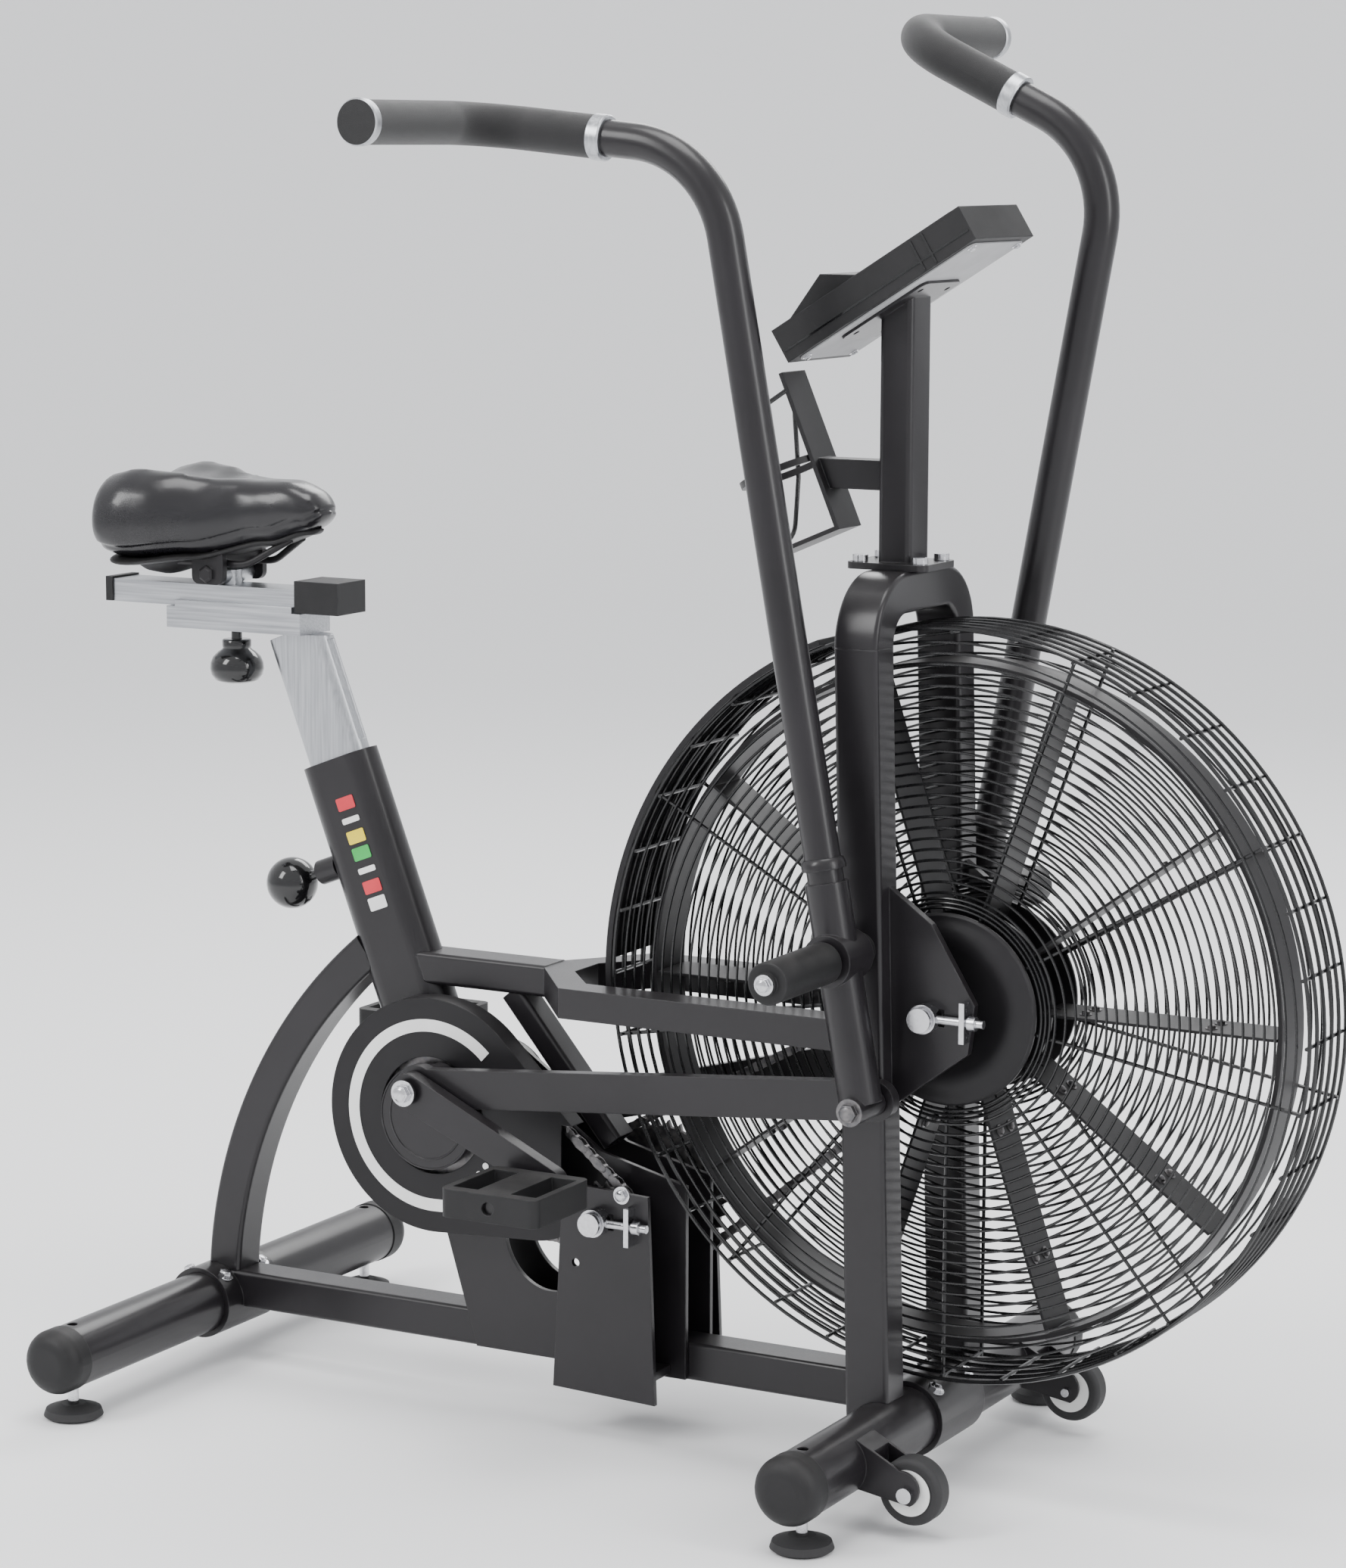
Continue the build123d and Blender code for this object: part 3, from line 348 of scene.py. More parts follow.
def startMaterial(name, shaderValues):
    material = bpy.data.materials.new(name)
    material.use_nodes = True
    tree = material.node_tree
    shader = tree.nodes["Principled BSDF"]
    for key, value in shaderValues.items():
        shader.inputs[key].default_value = value
    place = addNode(tree, "ShaderNodeTexCoord").outputs["Object"]
    return material, tree, shader, place


def bumpFrom(tree, shader, height, strength, distance, normal=None):
    bump = addNode(tree, "ShaderNodeBump", {"Strength": strength, "Distance": distance})
    tree.links.new(height, bump.inputs["Height"])
    if normal is not None:
        tree.links.new(normal, bump.inputs["Normal"])
    tree.links.new(bump.outputs["Normal"], shader.inputs["Normal"])


coatKinds = {
    "powderBlack": {
        "tone": rgb(0.0075, 0.0065, 0.0078), "drift": rgb(0.012, 0.0105, 0.0125), "driftScale": 9, "grain": 850,
        "rough": (0.30, 0.40), "bump": (0.16, 0.0004), "edge": rgb(0.05, 0.048, 0.052), "dust": 0.03,
        "shader": {"Coat Weight": 0.25, "Coat Roughness": 0.22},
    },
    "cageGloss": {
        "tone": rgb(0.0045, 0.0045, 0.005), "drift": rgb(0.008, 0.008, 0.009), "driftScale": 20, "grain": 1200,
        "rough": (0.22, 0.32), "bump": (0.08, 0.0002), "edge": None, "dust": 0.02,
        "shader": {"Coat Weight": 0.4, "Coat Roughness": 0.12},
    },
    "satinBlack": {
        "tone": rgb(0.007, 0.0065, 0.0075), "drift": rgb(0.011, 0.010, 0.0115), "driftScale": 12, "grain": 1100,
        "rough": (0.38, 0.48), "bump": (0.14, 0.0003), "edge": rgb(0.04, 0.04, 0.042), "dust": 0.03, "shader": {},
    },
    "mouldedBlack": {
        "tone": rgb(0.009, 0.009, 0.0095), "drift": rgb(0.014, 0.0135, 0.0145), "driftScale": 25, "grain": 1600,
        "rough": (0.42, 0.58), "bump": (0.3, 0.0004), "edge": rgb(0.045, 0.045, 0.048), "dust": 0.05, "shader": {},
    },
    "glossBlack": {
        "tone": rgb(0.004, 0.004, 0.0045), "drift": rgb(0.007, 0.007, 0.0075), "driftScale": 30, "grain": 600,
        "rough": (0.08, 0.16), "bump": (0.03, 0.0002), "edge": None, "dust": 0.02,
        "shader": {"Coat Weight": 0.6, "Coat Roughness": 0.06},
    },
    "rubberBlack": {
        "tone": rgb(0.016, 0.016, 0.017), "drift": rgb(0.026, 0.025, 0.026), "driftScale": 35, "grain": 1300,
        "rough": (0.62, 0.8), "bump": (0.5, 0.0005), "edge": rgb(0.05, 0.05, 0.05), "dust": 0.08, "shader": {},
    },
    "foamBlack": {
        "tone": rgb(0.009, 0.009, 0.0095), "drift": rgb(0.015, 0.0145, 0.0155), "driftScale": 40, "grain": 1900,
        "rough": (0.66, 0.84), "bump": (0.7, 0.0006), "edge": None, "dust": 0.04, "shader": {"Sheen Weight": 0.25},
    },
    "keyGrey": {
        "tone": rgb(0.16, 0.16, 0.17), "drift": rgb(0.2, 0.2, 0.21), "driftScale": 60, "grain": 2200,
        "rough": (0.5, 0.6), "bump": (0.2, 0.0003), "edge": None, "dust": 0.02, "shader": {},
    },
    "backGrey": {
        "tone": rgb(0.30, 0.30, 0.31), "drift": rgb(0.38, 0.38, 0.39), "driftScale": 30, "grain": 1500,
        "rough": (0.5, 0.62), "bump": (0.25, 0.0003), "edge": None, "dust": 0.0, "shader": {},
    },
    "keyRed": {
        "tone": rgb(0.42, 0.03, 0.025), "drift": rgb(0.5, 0.05, 0.04), "driftScale": 60, "grain": 2200,
        "rough": (0.45, 0.55), "bump": (0.2, 0.0003), "edge": None, "dust": 0.02, "shader": {},
    },
    "whitePaint": {
        "tone": rgb(0.78, 0.78, 0.77), "drift": rgb(0.86, 0.86, 0.85), "driftScale": 30, "grain": 1200,
        "rough": (0.35, 0.48), "bump": (0.1, 0.0002), "edge": None, "dust": 0.0, "shader": {},
    },
    "redPaint": {
        "tone": rgb(0.55, 0.02, 0.035), "drift": rgb(0.66, 0.035, 0.05), "driftScale": 30, "grain": 1200,
        "rough": (0.35, 0.48), "bump": (0.1, 0.0002), "edge": None, "dust": 0.0, "shader": {},
    },
    "yellowPaint": {
        "tone": rgb(0.8, 0.62, 0.02), "drift": rgb(0.88, 0.72, 0.05), "driftScale": 30, "grain": 1200,
        "rough": (0.35, 0.48), "bump": (0.1, 0.0002), "edge": None, "dust": 0.0, "shader": {},
    },
    "greenPaint": {
        "tone": rgb(0.02, 0.38, 0.06), "drift": rgb(0.03, 0.46, 0.09), "driftScale": 30, "grain": 1200,
        "rough": (0.35, 0.48), "bump": (0.1, 0.0002), "edge": None, "dust": 0.0, "shader": {},
    },
}


def coatMaterial(name):
    kind = coatKinds[name]
    dark = max(kind["tone"][:3]) < 0.05
    shine = {"Specular IOR Level": 0.3 if dark else 0.5, **kind["shader"]}
    material, tree, shader, place = startMaterial(name, shine)
    coat = useGroup(tree, "coat", place, {
        "Tone": kind["tone"], "Drift": kind["drift"],
        "Drift Scale": kind["driftScale"], "Grain Scale": kind["grain"],
        "Rough Low": kind["rough"][0], "Rough High": kind["rough"][1],
    })
    colour = coat.outputs["Color"]
    normal = None
    if kind["edge"]:
        wear = useGroup(tree, "wear", place)
        colour = mixColour(tree, wear.outputs["Mask"], colour, kind["edge"])
        normal = wear.outputs["Normal"]
    if kind["dust"]:
        dust = useGroup(tree, "dust", place, {"Amount": kind["dust"]})
        colour = mixColour(tree, dust.outputs["Mask"], colour, rgb(0.35, 0.33, 0.31))
    tree.links.new(colour, shader.inputs["Base Color"])
    tree.links.new(coat.outputs["Roughness"], shader.inputs["Roughness"])
    bumpFrom(tree, shader, coat.outputs["Height"], kind["bump"][0], kind["bump"][1], normal)
    return material


metalKinds = {
    "brushedAluminium": {
        "tone": rgb(0.36, 0.37, 0.39), "line": rgb(0.52, 0.53, 0.55), "squeeze": (420.0, 420.0, 14.0),
        "rough": (0.28, 0.42), "bump": (0.06, 0.0001),
    },
    "drawnAluminium": {
        "tone": rgb(0.36, 0.37, 0.39), "line": rgb(0.52, 0.53, 0.55), "squeeze": (12.0, 520.0, 520.0),
        "rough": (0.28, 0.42), "bump": (0.06, 0.0001),
    },
    "brightZinc": {
        "tone": rgb(0.5, 0.5, 0.52), "line": rgb(0.64, 0.64, 0.66), "squeeze": (300.0, 300.0, 300.0),
        "rough": (0.14, 0.28), "bump": (0.08, 0.0002),
    },
    "oiledSteel": {
        "tone": rgb(0.10, 0.10, 0.105), "line": rgb(0.22, 0.21, 0.21), "squeeze": (160.0, 160.0, 160.0),
        "rough": (0.3, 0.5), "bump": (0.2, 0.0003),
    },
}


def metalMaterial(name):
    kind = metalKinds[name]
    material, tree, shader, place = startMaterial(name, {"Metallic": 1.0})
    brush = useGroup(tree, "brush", place, {
        "Squeeze": kind["squeeze"], "Tone": kind["tone"], "Line": kind["line"],
        "Rough Low": kind["rough"][0], "Rough High": kind["rough"][1],
    })
    wear = useGroup(tree, "wear", place, {"Reach": 0.0008})
    tree.links.new(brush.outputs["Color"], shader.inputs["Base Color"])
    tree.links.new(brush.outputs["Roughness"], shader.inputs["Roughness"])
    bumpFrom(tree, shader, brush.outputs["Height"], kind["bump"][0], kind["bump"][1], wear.outputs["Normal"])
    return material


def vinylMaterial():
    shine = {"Specular IOR Level": 0.4, "Coat Weight": 0.25, "Coat Roughness": 0.12}
    material, tree, shader, place = startMaterial("saddleVinyl", shine)
    coat = useGroup(tree, "coat", place, {
        "Tone": rgb(0.0055, 0.005, 0.0065), "Drift": rgb(0.009, 0.0085, 0.0105),
        "Drift Scale": 16, "Grain Scale": 700,
        "Rough Low": 0.2, "Rough High": 0.3,
    })
    pebbles = useGroup(tree, "pebble", place, {"Pebble Scale": 620.0})
    dust = useGroup(tree, "dust", place, {"Amount": 0.02})
    colour = mixColour(tree, dust.outputs["Mask"], coat.outputs["Color"], rgb(0.3, 0.29, 0.28))
    tree.links.new(colour, shader.inputs["Base Color"])
    tree.links.new(coat.outputs["Roughness"], shader.inputs["Roughness"])
    bumpFrom(tree, shader, pebbles.outputs["Height"], 0.14, 0.0004)
    return material


def twoTone(name, maskBuilder, first, second, shaderValues=None, metalSecond=False):
    # one node that holds two finishes, parted by a mask in the object's own space
    material, tree, shader, place = startMaterial(name, shaderValues or {})
    a, b = coatKinds[first], second
    coat = useGroup(tree, "coat", place, {
        "Tone": a["tone"], "Drift": a["drift"], "Drift Scale": a["driftScale"], "Grain Scale": a["grain"],
        "Rough Low": a["rough"][0], "Rough High": a["rough"][1],
    })
    other = useGroup(tree, "coat", place, {
        "Tone": b["tone"], "Drift": b["drift"], "Drift Scale": 40.0, "Grain Scale": 900.0,
        "Rough Low": b["rough"][0], "Rough High": b["rough"][1],
    })
    split = addNode(tree, "ShaderNodeSeparateXYZ")
    tree.links.new(place, split.inputs[0])
    mask = maskBuilder(tree, split.outputs)
    colour = mixColour(tree, mask, coat.outputs["Color"], other.outputs["Color"])
    tree.links.new(colour, shader.inputs["Base Color"])
    rough = addNode(tree, "ShaderNodeMix", data_type="FLOAT")
    tree.links.new(mask, rough.inputs[0])
    tree.links.new(coat.outputs["Roughness"], rough.inputs[2])
    tree.links.new(other.outputs["Roughness"], rough.inputs[3])
    tree.links.new(rough.outputs[0], shader.inputs["Roughness"])
    if metalSecond:
        tree.links.new(mask, shader.inputs["Metallic"])
    bumpFrom(tree, shader, coat.outputs["Height"], a["bump"][0], a["bump"][1])
    return material


def sharp(tree, value, edge):
    return spread(tree, value, 0.0, 1.0, edge - 0.0002, edge + 0.0002)


def awayFromAxis(centre, edge, inside=True):
    # a mask of what lies nearer to (or farther from) a line along Y than the edge
    def build(tree, axes):
        dx = calc(tree, "SUBTRACT", axes["X"], centre[0])
        dz = calc(tree, "SUBTRACT", axes["Z"], centre[2])
        squares = calc(tree, "ADD", calc(tree, "MULTIPLY", dx, dx), calc(tree, "MULTIPLY", dz, dz))
        away = calc(tree, "SQRT", squares)
        mask = sharp(tree, away, edge)
        return calc(tree, "SUBTRACT", 1.0, mask) if inside else mask
    return build


def higherThan(level):
    return lambda tree, axes: sharp(tree, axes["Z"], level)


paleCore = {"tone": rgb(0.72, 0.72, 0.71), "drift": rgb(0.82, 0.82, 0.8), "rough": (0.35, 0.5)}
zincStud = {"tone": rgb(0.6, 0.6, 0.62), "drift": rgb(0.78, 0.78, 0.8), "rough": (0.18, 0.3)}

finishes = {name: coatMaterial(name) for name in coatKinds}
finishes.update({name: metalMaterial(name) for name in metalKinds})
finishes["saddleVinyl"] = vinylMaterial()
wheelCore = awayFromAxis(middleOf("transport_wheel_left"), 0.0205)
finishes["castorWheel"] = twoTone("castorWheel", wheelCore, "rubberBlack", paleCore)
finishes["levellingFoot"] = twoTone("levellingFoot", higherThan(0.0165), "rubberBlack", zincStud, None, True)


def displayMaterial():
    # blank and glossy
    shine = {"Coat Weight": 1.0, "Coat Roughness": 0.04}
    material, tree, shader, place = startMaterial("displayGlass", shine)
    coat = useGroup(tree, "coat", place, {
        "Tone": rgb(0.045, 0.055, 0.05), "Drift": rgb(0.06, 0.07, 0.062),
        "Drift Scale": 25, "Grain Scale": 2500, "Rough Low": 0.12, "Rough High": 0.2,
    })
    tree.links.new(coat.outputs["Color"], shader.inputs["Base Color"])
    tree.links.new(coat.outputs["Roughness"], shader.inputs["Roughness"])
    bumpFrom(tree, shader, coat.outputs["Height"], 0.03, 0.0002)
    return material


finishes["displayGlass"] = displayMaterial()

slotFinish = {
    "powder_black": "powderBlack", "cage_wire": "cageGloss", "guard_black": "satinBlack",
    "bright_aluminium": "brushedAluminium", "bright_steel": "brightZinc", "dark_steel": "oiledSteel",
    "black_plastic": "mouldedBlack", "gloss_black": "glossBlack", "foam_grip": "foamBlack",
    "rubber_foot": "levellingFoot", "caster": "castorWheel", "saddle_vinyl": "saddleVinyl",
    "console_shell": "mouldedBlack", "button_grey": "keyGrey", "button_red": "keyRed",
}
nodeFinish = {
    "seat_carriage": "drawnAluminium", "saddle_rail": "drawnAluminium", "fan_blades": "satinBlack",
    "bottle_holder": "satinBlack", "saddle": "saddleVinyl",
}
for name, node in nodes.items():
    node.data.materials.clear()
    node.data.materials.append(finishes[nodeFinish.get(name, slotFinish[slots[name]])])
print("materials made")


# mesh helpers
def newPiece(name, verts, faces, finish, body, smooth=True, sharpAngle=35):
    mesh = bpy.data.meshes.new(name)
    mesh.from_pydata([tuple(v) for v in verts], [], faces)
    return dressMesh(name, mesh, finish, body, smooth, sharpAngle)


def dressMesh(name, mesh, finish, body, smooth=True, sharpAngle=35):
    shape = bmesh.new()
    shape.from_mesh(mesh)
    bmesh.ops.remove_doubles(shape, verts=shape.verts, dist=1e-6)
    bmesh.ops.recalc_face_normals(shape, faces=shape.faces)
    for edge in shape.edges:
        if len(edge.link_faces) == 2:
            edge.smooth = edge.calc_face_angle(0) < radians(sharpAngle)
    for face in shape.faces:
        face.smooth = smooth
    shape.to_mesh(mesh)
    shape.free()
    piece = bpy.data.objects.new(name, mesh)
    bpy.context.scene.collection.objects.link(piece)
    mesh.materials.clear()
    mesh.materials.append(finishes[finish])
    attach(piece, body)
    return piece


def sideways(direction):
    helper = Vector((0, 1, 0)) if abs(direction.y) < 0.9 else Vector((1, 0, 0))
    first = direction.cross(helper).normalized()
    return first, direction.cross(first).normalized()


def bandFaces(row, nextRow, steps):
    # the faces between two rows of points
    a, b = row * steps, nextRow * steps
    return [(a + i, a + (i + 1) % steps, b + (i + 1) % steps, b + i) for i in range(steps)]


def lathe(centre, direction, profile, steps=48, closed=False):
    # profile is (radius, distance along direction); a closed profile is a ring of its own
    out = Vector(direction).normalized()
    first, second = sideways(out)
    verts, faces = [], []
    for radius, along in profile:
        for step in range(steps):
            a = 2 * pi * step / steps
            verts.append(Vector(centre) + out * along + (first * cos(a) + second * sin(a)) * radius)
    rows = len(profile)
    for row in range(rows if closed else rows - 1):
        faces += bandFaces(row, (row + 1) % rows, steps)
    if not closed:
        faces.append(tuple(range(steps)))
        faces.append(tuple((rows - 1) * steps + s for s in range(steps)))
    return verts, faces


def merged(parts):
    verts, faces = [], []
    for someVerts, someFaces in parts:
        shift = len(verts)
        verts += list(someVerts)
        faces += [tuple(i + shift for i in face) for face in someFaces]
    return verts, faces


def roundedPath(points, radii, step=0.006):
    # straight runs with arcs at the inner corners
    path = [Vector(points[0])]
    for index, radius in enumerate(radii, 1):
        corner = Vector(points[index])
        before = (corner - Vector(points[index - 1])).normalized()
        after = (Vector(points[index + 1]) - corner).normalized()
        half = before.angle(after) / 2
        cut = radius * tan(half)
        axis = (after - before).normalized()
        centre = corner + axis * (radius / cos(half))
        first, last = corner - before * cut - centre, corner + after * cut - centre
        count = max(4, ceil(radius * 2 * half / step))
        for piece in range(count + 1):
            share = piece / count
            full = 2 * half
            path.append(centre + (first * sin((1 - share) * full) + last * sin(share * full)) / sin(full))
    path.append(Vector(points[-1]))
    return path


def sweepRound(path, radius, steps=16):
    # a round bar along a path, with flat ends; the section is carried along without twist
    verts, faces = [], []
    direction = (path[1] - path[0]).normalized()
    first, second = sideways(direction)
    for index, point in enumerate(path):
        if index:
            newDirection = (path[min(index + 1, len(path) - 1)] - path[index - 1]).normalized()
            turn = direction.rotation_difference(newDirection)
            first, second, direction = turn @ first, turn @ second, newDirection
        reach = radius[index] if isinstance(radius, (list, tuple)) else radius
        for step in range(steps):
            a = 2 * pi * step / steps
            verts.append(point + (first * cos(a) + second * sin(a)) * reach)
    for row in range(len(path) - 1):
        faces += bandFaces(row, row + 1, steps)
    faces.append(tuple(range(steps)))
    faces.append(tuple((len(path) - 1) * steps + s for s in range(steps)))
    return verts, faces


def prism(outline, centre, right, up, out, depth):
    # an outline in the plane of right and up, pushed along out
    right, up, out = Vector(right), Vector(up), Vector(out)
    base = [Vector(centre) + right * a + up * b for a, b in outline]
    verts = base + [v + out * depth for v in base]
    n = len(base)
    faces = [tuple(range(n)), tuple(range(n, 2 * n))]
    faces += [(i, (i + 1) % n, n + (i + 1) % n, n + i) for i in range(n)]
    return verts, faces


def roundRect(width, height, radius, steps=5):
    outline = []
    for sx, sy, start in ((1, 1, 0), (-1, 1, 90), (-1, -1, 180), (1, -1, 270)):
        for step in range(steps + 1):
            a = radians(start + 90 * step / steps)
            x, y = sx * (width / 2 - radius), sy * (height / 2 - radius)
            outline.append((x + radius * cos(a), y + radius * sin(a)))
    return outline


# geometry-node helpers
def newNodeTree(name, inputs):
    tree = bpy.data.node_groups.new(name, "GeometryNodeTree")
    tree.interface.new_socket("Geometry", in_out="INPUT", socket_type="NodeSocketGeometry")
    for label, kind, value in inputs:
        socket = tree.interface.new_socket(label, in_out="INPUT", socket_type=kind)
        if value is not None:
            socket.default_value = value
    tree.interface.new_socket("Geometry", in_out="OUTPUT", socket_type="NodeSocketGeometry")
    return tree, tree.nodes.new("NodeGroupInput"), tree.nodes.new("NodeGroupOutput")


def link(tree, source, node, key):
    tree.links.new(source, node.inputs[key])
    return node


def finishTree(tree, src, out, geometry):
    real = addNode(tree, "GeometryNodeRealizeInstances")
    paint = addNode(tree, "GeometryNodeSetMaterial")
    tree.links.new(geometry, real.inputs["Geometry"])
    tree.links.new(real.outputs["Geometry"], paint.inputs["Geometry"])
    tree.links.new(src.outputs["Material"], paint.inputs["Material"])
    tree.links.new(paint.outputs["Geometry"], out.inputs["Geometry"])


def grow(name, seedMesh, tree, values, finish, body, smooth=True, sharpAngle=35):
    # runs a tree on a seed mesh and keeps the result as one plain mesh
    seed = bpy.data.objects.new(name + "Seed", seedMesh)
    bpy.context.scene.collection.objects.link(seed)
    modifier = seed.modifiers.new("grow", "NODES")
    modifier.node_group = tree
    sockets = {item.name: item.identifier for item in tree.interface.items_tree if item.in_out == "INPUT"}
    for label, value in dict(values, Material=finishes[finish]).items():
        modifier[sockets[label]] = value
    evaluated = seed.evaluated_get(bpy.context.evaluated_depsgraph_get())
    mesh = bpy.data.meshes.new_from_object(evaluated)
    mesh.name = name
    bpy.data.objects.remove(seed)
    for attribute in [a.name for a in mesh.attributes if a.name in ("outward", "size")]:
        mesh.attributes.remove(mesh.attributes[attribute])
    return dressMesh(name, mesh, finish, body, smooth, sharpAngle)


def emptyMesh():
    mesh = bpy.data.meshes.new("seed")
    mesh.from_pydata([(0, 0, 0)], [], [])
    return mesh


# the wire cage
cage = {
    "radius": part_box("cage_rim")[1].x - fanCentre.x,
    "halfWidth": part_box("cage_rim")[1].y,
    "ringPitch": 0.0096,
    "ringFirst": 0.1035,
    "ringCount": 24,
    "wire": 0.00125,
    "spokeWire": 0.0018,
    "spokes": 9,
    "spokeStart": radians(-90),
    "rimWires": 6,
    "rimWire": 0.0019,
    "dish": 0.086,
}


def cageTree():
    tree, src, out = newNodeTree("cageWires", [
        ("Rings", "NodeSocketInt", 24),
        ("First Radius", "NodeSocketFloat", 0.1),
        ("Ring Pitch", "NodeSocketFloat", 0.0096),
        ("Layer Step", "NodeSocketFloat", 0.0),
        ("Wire Radius", "NodeSocketFloat", 0.0012),
        ("Bars", "NodeSocketInt", 9),
        ("Bar Start", "NodeSocketVector", (0.08, 0.0, 0.0)),
        ("Bar End", "NodeSocketVector", (0.33, 0.0, 0.0)),
        ("Bar Radius", "NodeSocketFloat", 0.0018),
        ("Start Angle", "NodeSocketFloat", 0.0),
        ("Turn Per Bar", "NodeSocketFloat", 0.698),
        ("Place", "NodeSocketVector", (0.0, 0.0, 0.0)),
        ("Material", "NodeSocketMaterial", None),
    ])
    index = addNode(tree, "GeometryNodeInputIndex").outputs[0]

    def rows(count, step=None):
        line = addNode(tree, "GeometryNodeMeshLine")
        tree.links.new(count, line.inputs["Count"])
        line.inputs["Offset"].default_value = (0, 0, 0)
        if step is not None:
            combine = addNode(tree, "ShaderNodeCombineXYZ")
            tree.links.new(step, combine.inputs["Z"])
            tree.links.new(combine.outputs[0], line.inputs["Offset"])
        return line.outputs["Mesh"]

    def toBars(curves, radius):
        real = addNode(tree, "GeometryNodeRealizeInstances")
        section = addNode(tree, "GeometryNodeCurvePrimitiveCircle", {"Resolution": 6})
        tree.links.new(radius, section.inputs["Radius"])
        bar = addNode(tree, "GeometryNodeCurveToMesh", {"Fill Caps": True})
        tree.links.new(curves, real.inputs["Geometry"])
        tree.links.new(real.outputs["Geometry"], bar.inputs["Curve"])
        tree.links.new(section.outputs["Curve"], bar.inputs["Profile Curve"])
        return bar.outputs["Mesh"]

    ring = addNode(tree, "GeometryNodeCurvePrimitiveCircle", {"Resolution": 144, "Radius": 1.0})
    steps = calc(tree, "MULTIPLY", index, src.outputs["Ring Pitch"])
    sizes = calc(tree, "ADD", steps, src.outputs["First Radius"])
    flat = addNode(tree, "ShaderNodeCombineXYZ", {"Z": 1.0})
    tree.links.new(sizes, flat.inputs["X"])
    tree.links.new(sizes, flat.inputs["Y"])
    rings = addNode(tree, "GeometryNodeInstanceOnPoints")
    tree.links.new(rows(src.outputs["Rings"], src.outputs["Layer Step"]), rings.inputs["Points"])
    tree.links.new(ring.outputs["Curve"], rings.inputs["Instance"])
    tree.links.new(flat.outputs[0], rings.inputs["Scale"])
    ringBars = toBars(rings.outputs["Instances"], src.outputs["Wire Radius"])

    bar = addNode(tree, "GeometryNodeCurvePrimitiveLine")
    tree.links.new(src.outputs["Bar Start"], bar.inputs["Start"])
    tree.links.new(src.outputs["Bar End"], bar.inputs["End"])
    turns = calc(tree, "MULTIPLY", index, src.outputs["Turn Per Bar"])
    angle = calc(tree, "ADD", turns, src.outputs["Start Angle"])
    turn = addNode(tree, "ShaderNodeCombineXYZ")
    tree.links.new(angle, turn.inputs["Z"])
    spokes = addNode(tree, "GeometryNodeInstanceOnPoints")
    tree.links.new(rows(src.outputs["Bars"]), spokes.inputs["Points"])
    tree.links.new(bar.outputs["Curve"], spokes.inputs["Instance"])
    tree.links.new(turn.outputs[0], spokes.inputs["Rotation"])
    spokeBars = toBars(spokes.outputs["Instances"], src.outputs["Bar Radius"])

    join = addNode(tree, "GeometryNodeJoinGeometry")
    tree.links.new(ringBars, join.inputs[0])
    tree.links.new(spokeBars, join.inputs[0])
    # the wheel's axis runs along Y, so the flat pattern is stood up
    stand = addNode(tree, "GeometryNodeTransform", {"Rotation": (radians(90), 0, 0)})
    tree.links.new(join.outputs[0], stand.inputs["Geometry"])
    tree.links.new(src.outputs["Place"], stand.inputs["Translation"])
    finishTree(tree, src, out, stand.outputs["Geometry"])
    return tree


wireTree = cageTree()
faceY = cage["halfWidth"] - cage["wire"] - 0.0002
barGap = cage["wire"] + cage["spokeWire"] - 0.0004
for side, hand in ((-1, "right"), (1, "left")):
    face = grow(
        f"cageFace_{hand}", emptyMesh(), wireTree,
        {
            "Rings": cage["ringCount"], "First Radius": cage["ringFirst"], "Ring Pitch": cage["ringPitch"],
            "Layer Step": 0.0, "Wire Radius": cage["wire"], "Bars": cage["spokes"],
            "Bar Start": (cage["dish"] - 0.004, 0.0, side * barGap),
            "Bar End": (cage["radius"] - 0.001, 0.0, side * barGap), "Bar Radius": cage["spokeWire"],
            "Start Angle": cage["spokeStart"], "Turn Per Bar": 2 * pi / cage["spokes"],
            "Place": (fanCentre.x, side * faceY, fanCentre.z),
        },
        "cageGloss", "frame",
    )
    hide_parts(f"cage_grille_{hand}")
rim = grow(
    "cageRimWires", emptyMesh(), wireTree,
    {
        "Rings": cage["rimWires"], "First Radius": cage["radius"] - cage["rimWire"], "Ring Pitch": 0.0,
        "Layer Step": 2 * cage["halfWidth"] / (cage["rimWires"] - 1) * 0.98, "Wire Radius": cage["rimWire"],
        "Bars": 4 * cage["spokes"],
        "Bar Start": (cage["radius"] - 0.0045, 0.0, 0.001),
        "Bar End": (cage["radius"] - 0.0045, 0.0, 2 * cage["halfWidth"] - 0.001), "Bar Radius": cage["spokeWire"],
        "Start Angle": cage["spokeStart"], "Turn Per Bar": 2 * pi / (4 * cage["spokes"]),
        "Place": (fanCentre.x, cage["halfWidth"] - 0.001, fanCentre.z),
    },
    "cageGloss", "frame",
)
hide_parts("cage_rim")


